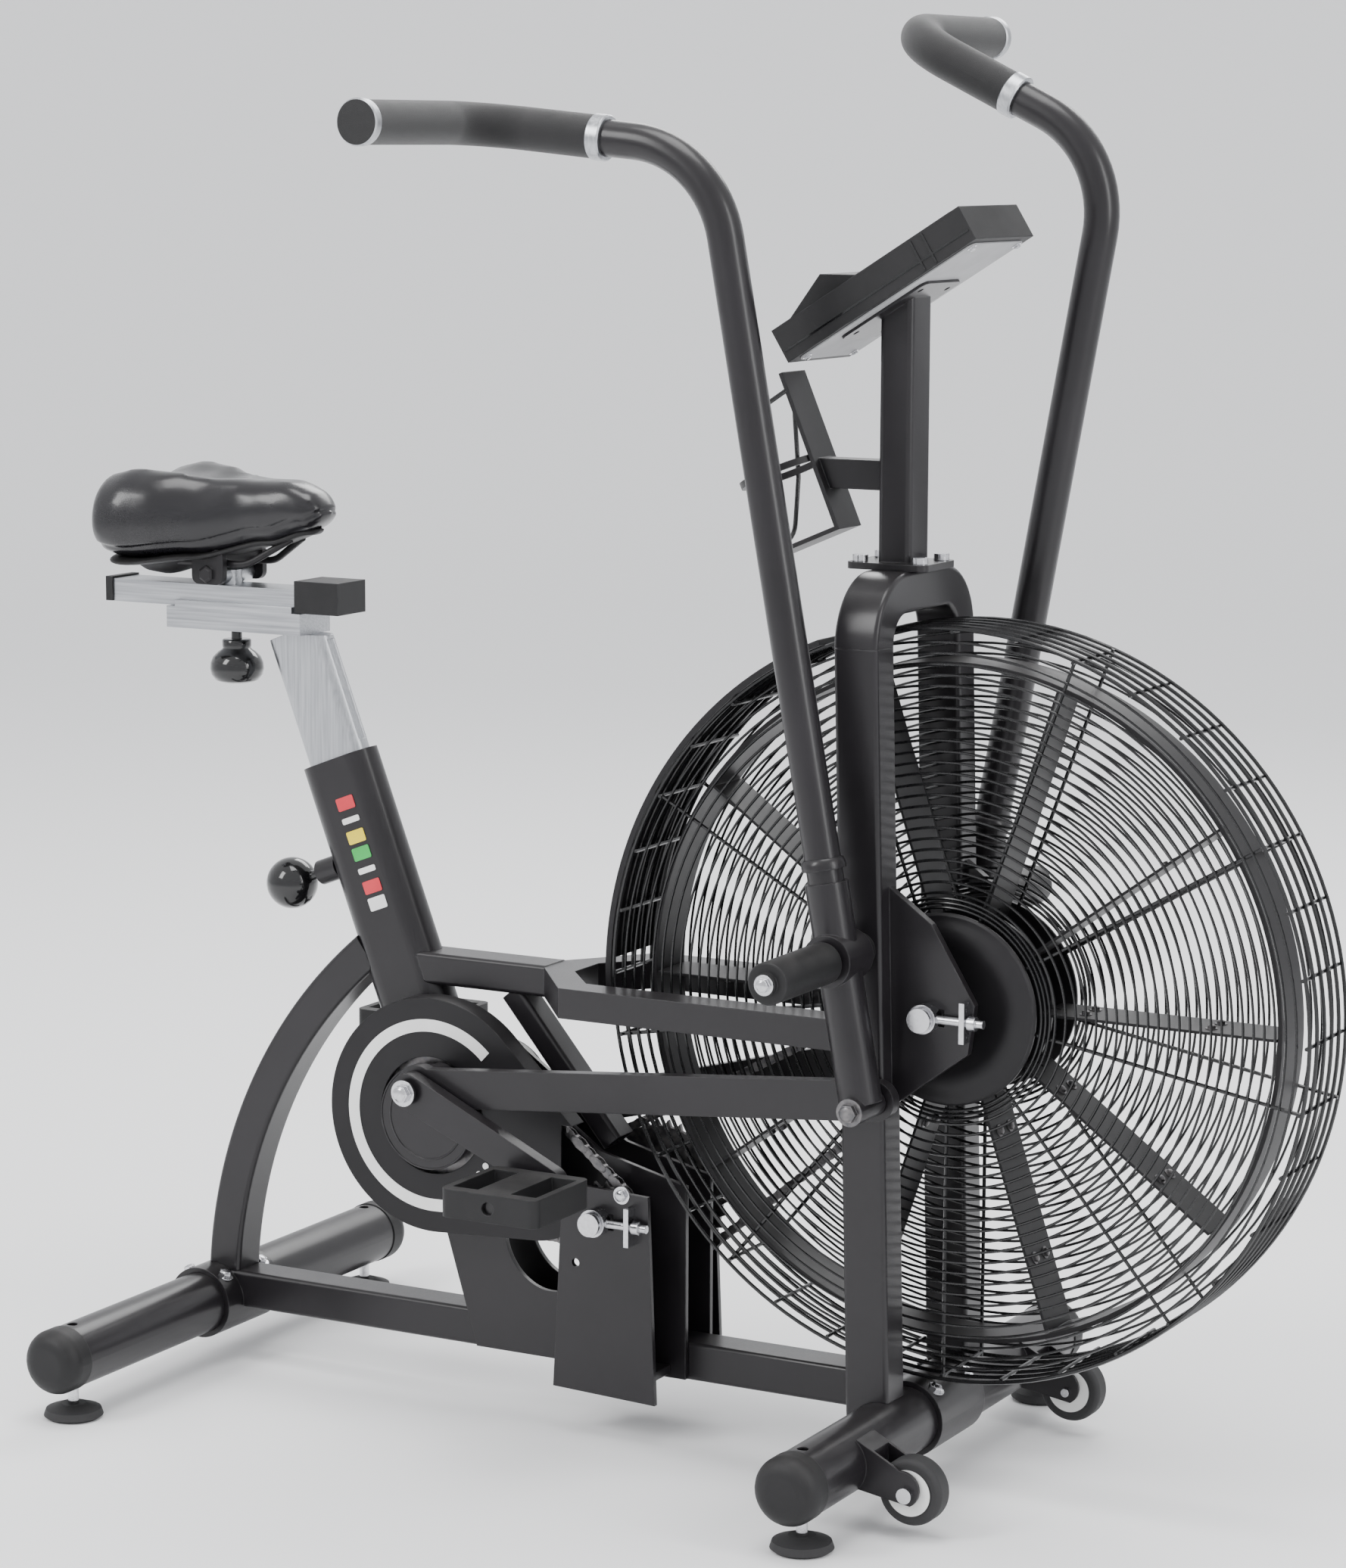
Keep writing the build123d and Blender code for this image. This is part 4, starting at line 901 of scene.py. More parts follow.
def centreDishes():
    # pressed caps in the middle of each cage face, stepped like stacked rings
    for side, hand in ((-1, "right"), (1, "left")):
        out = (0, side, 0)
        hub = 0.014
        profile = [
            (hub, 0.0), (hub, 0.003), (0.052, 0.003), (0.056, 0.0055), (0.074, 0.0055), (0.078, 0.003),
            (0.084, 0.003), (0.086, 0.001), (0.086, -0.0015), (0.05, -0.0015),
        ]
        centre = (fanCentre.x, side * (cage["halfWidth"] + 0.0002), fanCentre.z)
        verts, faces = lathe(centre, out, profile, 96, closed=True)
        newPiece(f"cageDish_{hand}", verts, faces, "satinBlack", "frame")
        parts = []
        for radius in (0.0905, 0.0945, 0.0985):
            turns = [radians(a) for a in range(0, 360, 45)]
            ring = [(radius + 0.0014 * cos(a), -0.001 + 0.0014 * sin(a)) for a in turns]
            parts.append(lathe(centre, out, ring, 96, closed=True))
        verts, faces = merged(parts)
        newPiece(f"cageInnerRings_{hand}", verts, faces, "cageGloss", "frame")


centreDishes()
print("cage made")

# drive chains
chain = {
    "pitch": 0.0127,
    "rightY": -0.050,
    "leftY": 0.055,
    "teeth": {"crank": 44, "jackSmall": 16, "jackLarge": 34, "fan": 14},
    "roller": 0.0038,
    "plateHeight": 0.0088,
    "plateThick": 0.0010,
}


def pitchRadius(teeth):
    return chain["pitch"] / (2 * sin(pi / teeth))


def chainPath(start, startRadius, end, endRadius, y):
    gap = hypot(end.x - start.x, end.z - start.z)
    heading = atan2(end.z - start.z, end.x - start.x)
    lean = pi / 2 - asin((startRadius - endRadius) / gap)
    points = []
    for centre, radius, a, b in (
        (end, endRadius, heading + lean, heading - lean),
        (start, startRadius, heading - lean, heading + lean - 2 * pi),
    ):
        for step in range(25):
            angle = a + (b - a) * step / 24
            points.append((centre.x + radius * cos(angle), y, centre.z + radius * sin(angle)))
    return points


def chainTree():
    tree, src, out = newNodeTree("rollerChain", [
        ("Links", "NodeSocketInt", 60),
        ("Roller Radius", "NodeSocketFloat", 0.0038),
        ("Plate Size", "NodeSocketVector", (0.0195, 0.001, 0.0088)),
        ("Outer Gap", "NodeSocketFloat", 0.0035),
        ("Inner Gap", "NodeSocketFloat", 0.0024),
        ("Material", "NodeSocketMaterial", None),
    ])
    path = link(tree, src.outputs["Geometry"], addNode(tree, "GeometryNodeMeshToCurve"), "Mesh")
    even = link(tree, path.outputs["Curve"], addNode(tree, "GeometryNodeResampleCurve"), "Curve")
    tree.links.new(src.outputs["Links"], even.inputs["Count"])
    tangent = addNode(tree, "GeometryNodeInputTangent").outputs[0]
    aim = addNode(tree, "FunctionNodeAlignRotationToVector", axis="X", pivot_axis="Y")
    tree.links.new(tangent, aim.inputs["Vector"])
    index = addNode(tree, "GeometryNodeInputIndex").outputs[0]
    odd = calc(tree, "MODULO", index, 2.0)
    even2 = calc(tree, "SUBTRACT", 1.0, odd)
    pieces = []
    for gapName, choice in (("Outer Gap", odd), ("Inner Gap", even2)):
        plate = addNode(tree, "GeometryNodeMeshCylinder", {"Vertices": 8, "Radius": 0.5, "Depth": 1.0})
        both = addNode(tree, "GeometryNodeJoinGeometry")
        for sign in (-1.0, 1.0):
            shaped = addNode(tree, "GeometryNodeTransform", {"Rotation": (radians(90), 0, 0)})
            scaled = addNode(tree, "GeometryNodeTransform")
            tree.links.new(plate.outputs["Mesh"], shaped.inputs["Geometry"])
            tree.links.new(shaped.outputs["Geometry"], scaled.inputs["Geometry"])
            tree.links.new(src.outputs["Plate Size"], scaled.inputs["Scale"])
            shift = addNode(tree, "ShaderNodeCombineXYZ")
            tree.links.new(calc(tree, "MULTIPLY", src.outputs[gapName], sign), shift.inputs["Y"])
            tree.links.new(shift.outputs[0], scaled.inputs["Translation"])
            tree.links.new(scaled.outputs["Geometry"], both.inputs[0])
        put = addNode(tree, "GeometryNodeInstanceOnPoints")
        tree.links.new(even.outputs["Curve"], put.inputs["Points"])
        tree.links.new(both.outputs[0], put.inputs["Instance"])
        tree.links.new(aim.outputs[0], put.inputs["Rotation"])
        tree.links.new(choice, put.inputs["Selection"])
        pieces.append(put.outputs["Instances"])
    ends = link(tree, even.outputs["Curve"], addNode(tree, "GeometryNodeSubdivideCurve"), "Curve")
    roller = addNode(tree, "GeometryNodeMeshCylinder", {"Vertices": 10, "Depth": 0.0072})
    tree.links.new(src.outputs["Roller Radius"], roller.inputs["Radius"])
    upright = addNode(tree, "GeometryNodeTransform", {"Rotation": (radians(90), 0, 0)})
    tree.links.new(roller.outputs["Mesh"], upright.inputs["Geometry"])
    rollers = addNode(tree, "GeometryNodeInstanceOnPoints")
    between = calc(tree, "MODULO", index, 2.0)
    tree.links.new(ends.outputs["Curve"], rollers.inputs["Points"])
    tree.links.new(upright.outputs["Geometry"], rollers.inputs["Instance"])
    tree.links.new(between, rollers.inputs["Selection"])
    pieces.append(rollers.outputs["Instances"])
    join = addNode(tree, "GeometryNodeJoinGeometry")
    for geometry in pieces:
        tree.links.new(geometry, join.inputs[0])
    finishTree(tree, src, out, join.outputs[0])
    return tree


def loopMesh(points):
    mesh = bpy.data.meshes.new("loop")
    n = len(points)
    mesh.from_pydata(points, [(i, (i + 1) % n) for i in range(n)], [])
    return mesh


def addChains():
    tree = chainTree()
    teeth = chain["teeth"]
    radii = {key: pitchRadius(count) for key, count in teeth.items()}
    runs = (
        ("crankChain", crankCentre, radii["crank"], jackCentre, radii["jackSmall"], chain["rightY"]),
        ("fanChain", jackCentre, radii["jackLarge"], fanCentre, radii["fan"], chain["leftY"]),
    )
    for name, start, startRadius, end, endRadius, y in runs:
        points = chainPath(start, startRadius, end, endRadius, y)
        length = sum((Vector(points[i]) - Vector(points[i - 1])).length for i in range(len(points)))
        links = 2 * round(length / chain["pitch"] / 2)
        grow(name, loopMesh(points), tree, {
            "Links": links, "Roller Radius": chain["roller"],
            "Plate Size": (0.0192, chain["plateThick"], chain["plateHeight"]),
        }, "oiledSteel", "frame", smooth=True)
    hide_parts("drive_chains")


addChains()
print("chains made")

# bolts, by body
bolts = {"washer": 1.45, "headHeight": 0.62, "domeHeight": 0.25}


def boltTree():
    tree, src, out = newNodeTree("hexBolts", [
        ("Washer Share", "NodeSocketFloat", 1.45),
        ("Head Share", "NodeSocketFloat", 0.62),
        ("Material", "NodeSocketMaterial", None),
    ])
    aim = addNode(tree, "FunctionNodeAlignRotationToVector", axis="Z")
    outward = addNode(tree, "GeometryNodeInputNamedAttribute", data_type="FLOAT_VECTOR")
    outward.inputs["Name"].default_value = "outward"
    size = addNode(tree, "GeometryNodeInputNamedAttribute", data_type="FLOAT")
    size.inputs["Name"].default_value = "size"
    tree.links.new(outward.outputs[0], aim.inputs["Vector"])
    join = addNode(tree, "GeometryNodeJoinGeometry")
    layers = (
        # vertices, radius, depth, bottom
        (28, src.outputs["Washer Share"], 0.16, 0.0),
        (6, 1.0, src.outputs["Head Share"], 0.16),
    )
    for count, radius, depth, bottom in layers:
        drum = addNode(tree, "GeometryNodeMeshCylinder", {"Vertices": count, "Radius": 1.0, "Depth": 1.0})
        size3 = addNode(tree, "ShaderNodeCombineXYZ")
        for key, value in (("X", radius), ("Y", radius), ("Z", depth)):
            if isinstance(value, float):
                size3.inputs[key].default_value = value
            else:
                tree.links.new(value, size3.inputs[key])
        lift = addNode(tree, "ShaderNodeCombineXYZ")
        half = calc(tree, "MULTIPLY", depth, 0.5)
        tree.links.new(calc(tree, "ADD", half, bottom), lift.inputs["Z"])
        shaped = addNode(tree, "GeometryNodeTransform")
        tree.links.new(drum.outputs["Mesh"], shaped.inputs["Geometry"])
        tree.links.new(size3.outputs[0], shaped.inputs["Scale"])
        tree.links.new(lift.outputs[0], shaped.inputs["Translation"])
        tree.links.new(shaped.outputs["Geometry"], join.inputs[0])
    crown = addNode(tree, "GeometryNodeMeshUVSphere", {"Segments": 18, "Rings": 8, "Radius": 0.82})
    squat = addNode(tree, "GeometryNodeTransform", {"Scale": (1, 1, 0.32), "Translation": (0, 0, 0.76)})
    tree.links.new(crown.outputs["Mesh"], squat.inputs["Geometry"])
    tree.links.new(squat.outputs["Geometry"], join.inputs[0])
    put = addNode(tree, "GeometryNodeInstanceOnPoints")
    tree.links.new(src.outputs["Geometry"], put.inputs["Points"])
    tree.links.new(join.outputs[0], put.inputs["Instance"])
    tree.links.new(aim.outputs[0], put.inputs["Rotation"])
    tree.links.new(size.outputs[0], put.inputs["Scale"])
    finishTree(tree, src, out, put.outputs["Instances"])
    return tree


boltNodes = boltTree()


def addBolts(name, places, body, finish="brightZinc"):
    # places is (point, outward direction, head radius)
    mesh = bpy.data.meshes.new(name + "Points")
    mesh.from_pydata([tuple(p) for p, _, _ in places], [], [])
    mesh.attributes.new("outward", "FLOAT_VECTOR", "POINT")
    mesh.attributes.new("size", "FLOAT", "POINT")
    outward, size = mesh.attributes["outward"], mesh.attributes["size"]
    for index, (_, direction, radius) in enumerate(places):
        outward.data[index].vector = direction
        size.data[index].value = radius
    return grow(name, mesh, boltNodes, {"Washer Share": bolts["washer"], "Head Share": bolts["headHeight"]},
                finish, body, smooth=True)


# handle levers: grips' rings, end caps and pivot bolts
handle = {
    "pivot": Vector((0.2311734, 0.142, 0.495)),
    "cornerHeight": 0.700,
    "rise": radians(16),
    "back": 0.225,
    "out": 0.190,
    "barRadius": 0.016,
    "lean": {"right": 10.5, "left": -10.185},
    "ringWidth": 0.0135,
    "ringRadius": 0.0202,
}
sides = {"right": -1, "left": 1}


def leverPoint(hand, back, out, up):
    a = -radians(handle["lean"][hand])
    x, z = -back, up
    return Vector((
        handle["pivot"].x + x * cos(a) + z * sin(a),
        sides[hand] * (handle["pivot"].y + out),
        handle["pivot"].z - x * sin(a) + z * cos(a),
    ))


def addHandleTrim():
    topHeight = handle["cornerHeight"] + handle["back"] * tan(handle["rise"])
    for hand, side in sides.items():
        body = "lever_r" if hand == "right" else "lever_l"
        corner = leverPoint(hand, 0, 0, handle["cornerHeight"])
        turn = leverPoint(hand, handle["back"], 0, topHeight)
        tip = leverPoint(hand, handle["back"], handle["out"], topHeight)
        along = (turn - corner).normalized()
        outward = Vector((0, side, 0))
        ringAt = turn - along * (0.128 + 0.004)
        rim = handle["ringRadius"]
        width = handle["ringWidth"]
        bevel = 0.0012
        band = [
            (handle["barRadius"], 0), (rim - bevel, 0), (rim, bevel), (rim, width - bevel), (rim - bevel, width),
            (handle["barRadius"], width),
        ]
        parts = [lathe(ringAt, along, band, 64, closed=True)]
        parts.append(lathe(tip - outward * 0.004, outward, [
            (0.017, 0), (rim - bevel, 0), (rim, bevel), (rim, 0.0085), (rim - bevel, 0.0098), (0.0165, 0.0098),
            (0.0165, 0.0088), (0.0125, 0.0088), (0.0125, 0.0094), (0.0105, 0.0094), (0.0105, 0.0086),
            (0.0065, 0.0086), (0.0065, 0.0094), (0.0035, 0.0098),
        ], 64))
        verts, faces = merged(parts)
        newPiece(f"gripRings_{hand}", verts, faces, "brushedAluminium", body)
        capBase = tip + outward * 0.00475
        parts = []
        for wide, slim in ((0.0163, 0.0128), (0.0103, 0.0067)):
            parts.append(lathe(capBase, outward, [(wide, 0), (wide, 0.0004), (slim, 0.0004), (slim, 0)], 48, closed=True))
        verts, faces = merged(parts)
        newPiece(f"gripCapBands_{hand}", verts, faces, "mouldedBlack", body)
        foot = leverPoint(hand, 0, 0, -0.132)
        footFace = Vector((foot.x, side * 0.1651, foot.z))
        addBolts(f"leverBolts_{hand}", [(footFace, (0, side, 0), 0.0085)], body, "oiledSteel")
        # a welded band where the thin bar enters the stout lower part
        seam = leverPoint(hand, 0, 0, 0.0815)
        ringUp = (leverPoint(hand, 0, 0, 0.2) - seam).normalized()
        collar = [(0.0165, -0.004), (0.0194, -0.004), (0.0196, 0), (0.0185, 0.004), (0.0165, 0.006)]
        verts, faces = lathe(seam, ringUp, collar, 48, closed=True)
        newPiece(f"leverCollar_{hand}", verts, faces, "powderBlack", body)


addHandleTrim()
print("handles trimmed")

# guard line, dots and other crank trim
guard = {
    "faceY": -0.0632,
    "lineOuter": 0.092,
    "lineInner": 0.0802,
    "noseOuter": 0.046,
    "noseAt": Vector((-0.1215, 0, 0.243)),
    "cutX": -0.094,
    "lineThick": 0.0004,
}


def tangentLoop(big, small, steps=72):
    start, end = crankCentre, guard["noseAt"]
    gap = hypot(end.x - start.x, end.z - start.z)
    heading = atan2(end.z - start.z, end.x - start.x)
    lean = pi / 2 - asin((big - small) / gap)
    loop = []
    for centre, radius, a, b in (
        (start, big, heading + lean, heading - lean + 2 * pi),
        (end, small, heading - lean + 2 * pi, heading + lean + 2 * pi),
    ):
        for step in range(steps):
            angle = a + (b - a) * step / (steps - 1)
            loop.append(Vector((centre.x + radius * cos(angle), 0, centre.z + radius * sin(angle))))
    return loop


def addGuardLine():
    outer = tangentLoop(guard["lineOuter"], guard["noseOuter"])
    inner = tangentLoop(guard["lineInner"], guard["noseOuter"] - 0.0118)
    keep = [i for i, p in enumerate(outer) if p.x < guard["cutX"] and inner[i].x < guard["cutX"]]
    runs, current = [], [keep[0]]
    for previous, index in zip(keep, keep[1:]):
        if index == previous + 1:
            current.append(index)
        else:
            runs.append(current)
            current = [index]
    runs.append(current)
    if len(runs) > 1 and runs[0][0] == 0 and runs[-1][-1] == len(outer) - 1:
        runs[0] = runs.pop() + runs[0]
    parts = []
    for run in runs:
        verts, faces = [], []
        for index in run:
            for loop in (outer, inner):
                verts.append(Vector((loop[index].x, guard["faceY"], loop[index].z)))
                verts.append(Vector((loop[index].x, guard["faceY"] - guard["lineThick"], loop[index].z)))
        for row in range(len(run) - 1):
            a, b = row * 4, row * 4 + 4
            faces += [(a, a + 1, b + 1, b), (a + 2, b + 2, b + 3, a + 3), (a + 1, a + 3, b + 3, b + 1), (a, b, b + 2, a + 2)]
        last = (len(run) - 1) * 4
        faces += [(0, 2, 3, 1), (last, last + 1, last + 3, last + 2)]
        parts.append((verts, faces))
    # a run of small dots beside the connecting rod's end
    for step in range(6):
        a = radians(-8 - 9 * step)
        spot = Vector((crankCentre.x + 0.0725 * cos(a), guard["faceY"], crankCentre.z + 0.0725 * sin(a)))
        parts.append(lathe(spot, (0, -1, 0), [(0.0032, 0), (0.0032, guard["lineThick"])], 20))
    verts, faces = merged(parts)
    newPiece("guardLine", verts, faces, "whitePaint", "frame")


addGuardLine()


crankTrim = {"pinRadius": 0.042, "pinAngle": 66, "beads": (0.0495, 0.040)}


def crankSpot(radius, angle):
    return crankCentre.x + radius * cos(radians(angle)), crankCentre.z + radius * sin(radians(angle))


def addCrankTrim():
    places = []
    for hand, side in sides.items():
        phase = 0 if side < 0 else 180
        pinX, pinZ = crankSpot(crankTrim["pinRadius"], crankTrim["pinAngle"] + phase)
        places.append((Vector((pinX, side * 0.1391, pinZ)), (0, side, 0), 0.0085))
    addBolts("crankBolts", places, "crank")
    for hand, side in sides.items():
        parts = []
        for radius in crankTrim["beads"]:
            band = [(radius + 0.001 * cos(radians(a)), 0.001 * sin(radians(a))) for a in range(0, 360, 60)]
            parts.append(lathe((crankCentre.x, side * 0.072, crankCentre.z), (0, side, 0), band, 72, closed=True))
        verts, faces = merged(parts)
        newPiece(f"crankDiscBeads_{hand}", verts, faces, "powderBlack", "crank")


addCrankTrim()
print("drive trimmed")

# coloured bars on the seat tube, in place of any lettering
bars = {
    "foot": Vector((-0.3035, 0, 0.425)),
    "lean": radians(20.9),
    "faceY": -0.02135,
    "first": 0.150,
    "pitch": 0.0166,
    "long": 0.0125,
    "wide": 0.0200,
    "shift": 0.004,
    "colours": ("redPaint", "whitePaint", "yellowPaint", "greenPaint", "whitePaint", "redPaint", "whitePaint"),
}


def addBars():
    up = Vector((-sin(bars["lean"]), 0, cos(bars["lean"])))
    across = Vector((cos(bars["lean"]), 0, sin(bars["lean"])))
    for index, colour in enumerate(bars["colours"]):
        centre = bars["foot"] + up * (bars["first"] - bars["pitch"] * index) + across * bars["shift"]
        centre.y = bars["faceY"]
        slim = 0.45 if index in (1, 4) else 1.0
        outline = roundRect(bars["wide"], bars["long"] * slim, 0.0015)
        verts, faces = prism(outline, centre, across, up, (0, -1, 0), 0.0004)
        newPiece(f"tubeBar_{index}", verts, faces, colour, "frame", smooth=False)


addBars()
print("bars placed")

# saddle: pan and padded cover
saddle = {
    "rear": -0.6225,
    "nose": -0.3735,
    "rearRound": 0.030,
    "noseRound": 0.024,
    "halves": ((-0.6225, 0.078), (-0.600, 0.094), (-0.570, 0.098), (-0.535, 0.089), (-0.500, 0.066), (-0.465, 0.048),
               (-0.430, 0.038), (-0.400, 0.032), (-0.3735, 0.027)),
    "tops": ((-0.624, 0.866), (-0.595, 0.883), (-0.565, 0.888), (-0.530, 0.884), (-0.490, 0.876), (-0.455, 0.8725),
             (-0.420, 0.874), (-0.395, 0.866), (-0.372, 0.848)),
    "lows": ((-0.624, 0.797), (-0.57, 0.791), (-0.51, 0.797), (-0.44, 0.812), (-0.40, 0.823), (-0.372, 0.834)),
    "trough": ((-0.624, 0.016), (-0.575, 0.022), (-0.52, 0.016), (-0.465, 0.004), (-0.372, 0.0)),
    "panGap": 0.0035,
    "panDeep": 0.0055,
    "panInset": 0.018,
    "voxel": 0.0045,
    "pressure": 2.0,
    "frames": 16,
    "cap": 0.0032,
    "evenings": 14,
}


def between(table, x):
    if x <= table[0][0]:
        return table[0][1]
    for (x0, v0), (x1, v1) in zip(table, table[1:]):
        if x <= x1:
            share = (x - x0) / (x1 - x0)
            share = share * share * (3 - 2 * share) if table is not saddle["halves"] else share
            return v0 + (v1 - v0) * share
    return table[-1][1]


def endRound(x, inset):
    # closes the shell at its rear and nose like a quarter ellipse
    rear, nose = saddle["rear"] + inset, saddle["nose"] - inset
    share = max(0.0, (rear + saddle["rearRound"] - x) / saddle["rearRound"], (x - nose) / saddle["noseRound"] + 1)
    return max(0.22, sqrt(max(0.0, 1 - min(1.0, share) ** 2)))


def saddleShell(lowOf, topOf, inset, power, rows=72, steps=56):
    verts, faces = [], []
    for row in range(rows + 1):
        u = 0.5 - 0.5 * cos(pi * row / rows)
        x = saddle["rear"] + inset + (saddle["nose"] - saddle["rear"] - 2 * inset) * u
        ends = endRound(x, inset)
        half = (between(saddle["halves"], x) - inset) * ends ** 0.8
        low, top = lowOf(x), topOf(x)
        centre = low + (top - low) * 0.42
        for step in range(steps):
            a = 2 * pi * step / steps
            c, s = cos(a), sin(a)
            y = half * (abs(c) ** power) * (1 if c >= 0 else -1)
            reach = (top - centre) if s >= 0 else (centre - low)
            z = centre + reach * ends ** 0.9 * (abs(s) ** (0.9 if s >= 0 else 0.7)) * (1 if s >= 0 else -1)
            if s > 0:
                z -= between(saddle["trough"], x) * max(0.0, 1 - (abs(y) / (half * 0.62)) ** 2) * s * ends
            verts.append(Vector((x, y, z)))
    for row in range(rows):
        faces += bandFaces(row, row + 1, steps)
    faces.append(tuple(range(steps)))
    faces.append(tuple(rows * steps + s for s in range(steps)))
    return verts, faces


def runModifiers(piece):
    # keeps what the modifiers make as the mesh itself
    mesh = bpy.data.meshes.new_from_object(piece.evaluated_get(bpy.context.evaluated_depsgraph_get()))
    piece.modifiers.clear()
    old = piece.data
    piece.data = mesh
    bpy.data.meshes.remove(old)


def puffUp(piece):
    # the cover fills with foam: pressure outwards, each point held to a short travel
    remesh = piece.modifiers.new("even", "REMESH")
    remesh.mode = "VOXEL"
    remesh.voxel_size = saddle["voxel"]
    remesh.use_smooth_shade = True
    runModifiers(piece)
    start = [v.co.copy() for v in piece.data.vertices]
    cloth = piece.modifiers.new("cover", "CLOTH")
    cloth.settings.use_pressure = True
    cloth.settings.uniform_pressure_force = saddle["pressure"]
    cloth.settings.effector_weights.gravity = 0
    cloth.settings.quality = 5
    cloth.settings.tension_stiffness = 25
    scene = bpy.context.scene
    for number in range(1, saddle["frames"] + 1):
        scene.frame_set(number)
    runModifiers(piece)
    scene.frame_set(1)
    for vertex, origin in zip(piece.data.vertices, start):
        travel = vertex.co - origin
        if travel.length > saddle["cap"]:
            vertex.co = origin + travel.normalized() * saddle["cap"]


def pressSeams(piece):
    # a seam round the side, pressed into the foam
    for vertex in piece.data.vertices:
        co = vertex.co
        line = between(saddle["lows"], co.x) + 0.0125
        depth = 0.0020 * max(0.0, 1 - abs(co.z - line) / 0.0035) ** 1.2
        if depth:
            vertex.co = co - vertex.normal * depth


def addSaddle():
    lowOf = lambda x: between(saddle["lows"], x)
    topOf = lambda x: between(saddle["tops"], x) - 0.003
    verts, faces = saddleShell(lowOf, topOf, 0.004, 0.62)
    mesh = bpy.data.meshes.new("saddleShell")
    mesh.from_pydata([tuple(v) for v in verts], [], faces)
    cover = bpy.data.objects.new("saddleShell", mesh)
    bpy.context.scene.collection.objects.link(cover)
    puffUp(cover)
    low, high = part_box("saddle")
    for vertex in cover.data.vertices:
        co = vertex.co
        co.x = max(low.x - 0.002, min(high.x + 0.002, co.x))
    smooth = cover.modifiers.new("even", "SMOOTH")
    smooth.iterations = saddle["evenings"]
    smooth.factor = 0.5
    subdivide = cover.modifiers.new("fine", "SUBSURF")
    subdivide.levels = 1
    subdivide.render_levels = 1
    runModifiers(cover)
    pressSeams(cover)
    mesh = cover.data
    bpy.data.objects.remove(cover)
    cover = dressMesh("saddleCover", mesh, "saddleVinyl", "saddle_slide", sharpAngle=180)
    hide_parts("saddle")
    # the moulded pan under the cover
    panLow = lambda x: between(saddle["lows"], x) - saddle["panDeep"]
    panTop = lambda x: between(saddle["lows"], x) + saddle["panGap"]
    verts, faces = saddleShell(panLow, panTop, saddle["panInset"], 0.7, 48, 40)
    newPiece("saddlePan", verts, faces, "mouldedBlack", "saddle_slide", sharpAngle=60)


def addSaddleClamp():
    # cheeks over the rail's cross bar, and the two rods they hold under the pan
    spots = [nodes["saddle_rail"].matrix_world @ v.co for v in nodes["saddle_rail"].data.vertices]
    bar = [p for p in spots if p.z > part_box("saddle_rail_caps")[1].z + 0.004]
    low = Vector([min(p[i] for p in bar) for i in range(3)])
    high = Vector([max(p[i] for p in bar) for i in range(3)])
    x = (low.x + high.x) / 2
    parts = []
    for side in (-1, 1):
        outline = roundRect(0.036, 0.034, 0.008)
        centre = Vector((x, side * (high.y + 0.0002), high.z + 0.001))
        parts.append(prism(outline, centre, (1, 0, 0), (0, 0, 1), (0, side, 0), 0.007))
        nut = Vector((x, side * (high.y + 0.007), high.z - 0.006))
        parts.append(lathe(nut, (0, side, 0), [(0.0085, 0), (0.0085, 0.003), (0.006, 0.005)], 6))
        rodY, rodZ = side * max(0.012, high.y - 0.006), high.z + 0.0035
        points = [(-0.580, rodY, 0.795), (-0.550, rodY, rodZ), (-0.462, rodY, rodZ), (-0.420, side * 0.010, 0.814)]
        parts.append(sweepRound(roundedPath(points, (0.03, 0.03)), 0.0035, 12))
    bridge = roundRect(0.030, 0.014, 0.003)
    start = Vector((x, -high.y - 0.0002, high.z + 0.0075))
    parts.append(prism(bridge, start, (1, 0, 0), (0, 0, 1), (0, 1, 0), 2 * high.y + 0.0004))
    verts, faces = merged(parts)
    newPiece("saddleClamp", verts, faces, "satinBlack", "saddle_slide")


def addCarriageKnob():
    # a rounded knob with a collar, turned about its stud
    low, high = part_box("carriage_knob")
    x, bottom, top = (low.x + high.x) / 2, low.z, high.z
    wide = (high.x - low.x) / 2
    profile = [
        (0.012, 0.0012), (0.017, 0), (0.0215, 0.0022), (wide - 0.001, 0.0075), (wide, 0.013), (wide - 0.0006, 0.019),
        (wide - 0.003, 0.0245), (wide - 0.0075, 0.029), (0.0145, 0.0318), (0.0135, 0.033), (0.0140, 0.0345),
        (0.0140, 0.0405), (0.0130, 0.0415), (0.0052, 0.0415), (0.0050, top - bottom),
    ]
    verts, faces = lathe((x, 0, bottom), (0, 0, 1), profile, 72)
    knob = newPiece("carriageKnobGrip", verts, faces, "glossBlack", "knob", sharpAngle=50)
    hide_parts("carriage_knob")


addSaddle()
addSaddleClamp()
addCarriageKnob()
print("saddle padded")


# console: display, side bands, underside
console = {
    "low": Vector((0.136, 0, 1.000)),
    "high": Vector((0.314, 0, 1.110)),
    "deep": 0.032,
    "half": 0.060,
    "hoodReach": 0.066,
}


